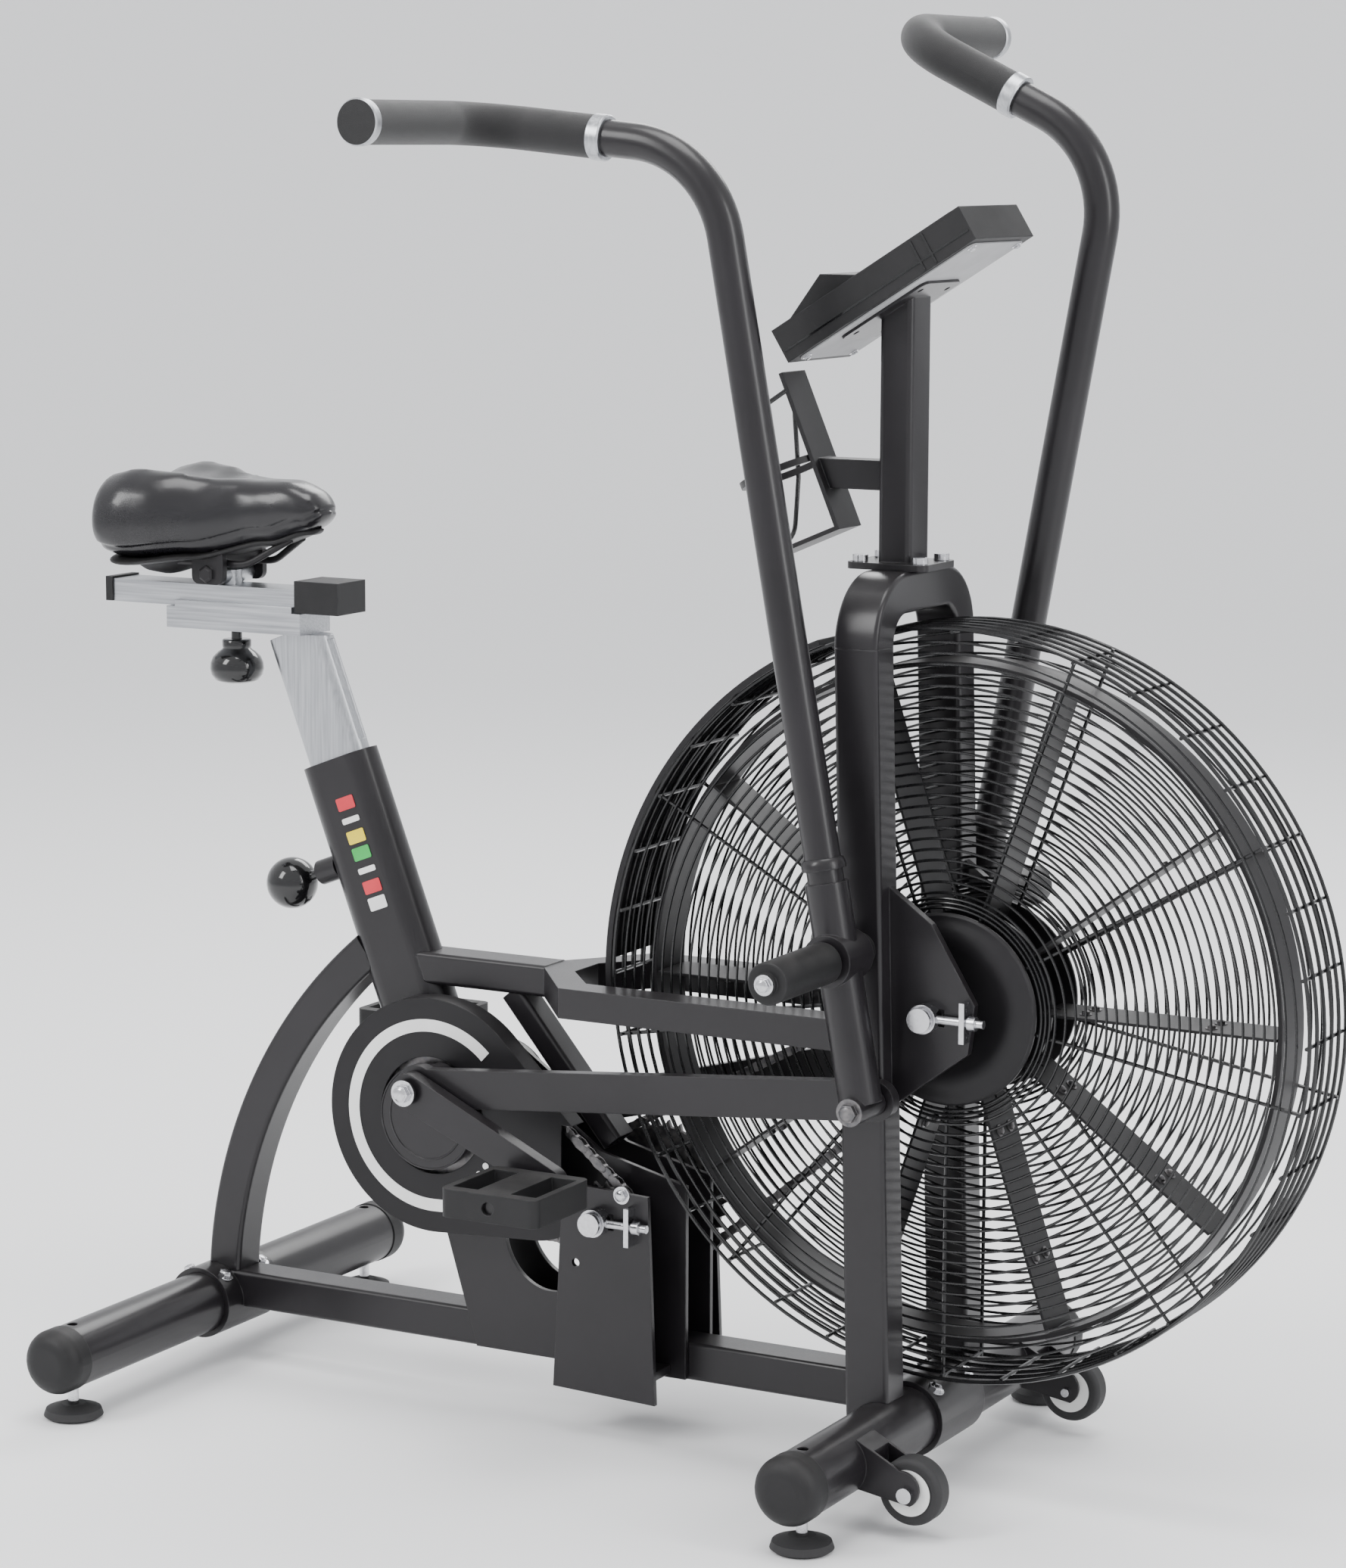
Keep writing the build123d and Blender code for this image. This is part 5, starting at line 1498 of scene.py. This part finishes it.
def addConsole():
    along = (console["high"] - console["low"]).normalized()
    out = Vector((-along.z, 0, along.x))
    across = Vector((0, 1, 0))
    length = (console["high"] - console["low"]).length
    top = console["low"] + out * console["deep"]
    hoodReach = console["hoodReach"]
    screenCentre = top + along * (hoodReach + (length - hoodReach) / 2)
    frameOutline = roundRect(0.104, length - hoodReach - 0.016, 0.006)
    verts, faces = prism(frameOutline, screenCentre - out * 0.0005, across, along, out, 0.0025)
    newPiece("displayFrame", verts, faces, "glossBlack", "frame", smooth=False)
    paneOutline = roundRect(0.092, length - hoodReach - 0.030, 0.004)
    verts, faces = prism(paneOutline, screenCentre + out * 0.0019, across, along, out, 0.0006)
    newPiece("displayPane", verts, faces, "displayGlass", "frame", smooth=False)
    # a parting line round the shell and two bands near its upper end
    parts = []
    for share, wide in ((0.74, 0.0022), (0.80, 0.0022)):
        for side in (-1, 1):
            centre = console["low"] + along * (length * share) + out * (console["deep"] / 2)
            centre += across * side * (console["half"] - 0.0002)
            outline = roundRect(wide, console["deep"] - 0.003, 0.0008, 3)
            parts.append(prism(outline, centre, along, out, across * side, 0.0010))
    for side in (-1, 1):
        centre = console["low"] + along * (length / 2) + out * 0.010
        centre += across * side * (console["half"] - 0.0002)
        parts.append(prism(roundRect(length - 0.004, 0.0016, 0.0006, 3), centre, along, out, across * side, 0.0008))
    verts, faces = merged(parts)
    newPiece("consoleBeads", verts, faces, "glossBlack", "frame", smooth=False)
    # slots for speaker and battery cover under the shell
    parts = []
    under = console["low"] - out * 0.0002
    for row in range(4):
        centre = under + along * (length * 0.90 - 0.007 * row)
        parts.append(prism(roundRect(0.050, 0.0028, 0.0012, 3), centre, across, along, -out, 0.0008))
    verts, faces = merged(parts)
    newPiece("consoleVents", verts, faces, "glossBlack", "frame", smooth=False)
    backPlate = under + along * (length * 0.5)
    verts, faces = prism(roundRect(0.108, length - 0.014, 0.008), backPlate, across, along, -out, 0.0012)
    newPiece("consoleBack", verts, faces, "backGrey", "frame", smooth=False)
    screws = []
    for side in (-1, 1):
        for share in (0.06, 0.94):
            spot = under + along * (length * share) + across * side * 0.046 - out * 0.0012
            screws.append((spot, tuple(-out), 0.0032))
    addBolts("consoleScrews", screws, "frame")


addConsole()
print("console detailed")

# bottle cage wires beside the holder
bottle = {"origin": Vector((0.165, 0, 0.856)), "lean": radians(23), "radius": 0.038, "wire": 0.0022}


def addBottleWires():
    back = Vector((-cos(bottle["lean"]), 0, -sin(bottle["lean"])))
    up = Vector((-sin(bottle["lean"]), 0, cos(bottle["lean"])))
    across = Vector((0, 1, 0))
    parts = []
    for side in (-1, 1):
        points = [
            bottle["origin"] + up * 0.128 + across * side * 0.020 + back * 0.001,
            bottle["origin"] + up * 0.118 + across * side * 0.040 + back * 0.030,
            bottle["origin"] + up * 0.060 + across * side * 0.041 + back * 0.050,
            bottle["origin"] + up * 0.012 + across * side * 0.030 + back * 0.068,
            bottle["origin"] + up * 0.004 + across * side * 0.010 + back * 0.076,
        ]
        parts.append(sweepRound(roundedPath(points, (0.012, 0.02, 0.02)), bottle["wire"], 10))
    verts, faces = merged(parts)
    newPiece("bottleWires", verts, faces, "cageGloss", "frame")


addBottleWires()
print("bottle wires bent")

# bolts on the frame


def addFrameBolts():
    places = []
    for side in (-1, 1):
        # base cradle bolts over each stabilizer
        for x in (-0.5135, 0.2565):
            for dx in (-0.020, 0.020):
                places.append((Vector((x + dx, side * 0.031, 0.0865)), (dx * 20, 0, 1), 0.0062))
        for x, z in ((-0.085, 0.075), (-0.025, 0.075)):
            places.append((Vector((x, side * 0.0671, z + 0.16)), (0, side, 0), 0.0058))
        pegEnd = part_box("foot_pegs")[1].y
        places.append((Vector((handle["pivot"].x, side * pegEnd, handle["pivot"].z)), (0, side, 0), 0.0062))
    addBolts("frameHexBolts", places, "frame")


addFrameBolts()

# blade brackets: a pair of small bolts at the root and middle of each blade
blades = {"count": 10, "rootRadii": (0.118, 0.235), "thick": 0.00125}


def addBladeBolts():
    places = []
    for index in range(blades["count"]):
        a = 2 * pi * index / blades["count"]
        for radius in blades["rootRadii"]:
            for y in (-0.011, 0.011):
                spot = Vector((fanCentre.x + radius * cos(a), y, fanCentre.z + radius * sin(a)))
                normal = Vector((-sin(a), 0, cos(a)))
                places.append((spot + normal * blades["thick"], tuple(normal), 0.0038))
    addBolts("bladeBolts", places, "fan", "oiledSteel")


addBladeBolts()
print("bolts placed")

print("done")
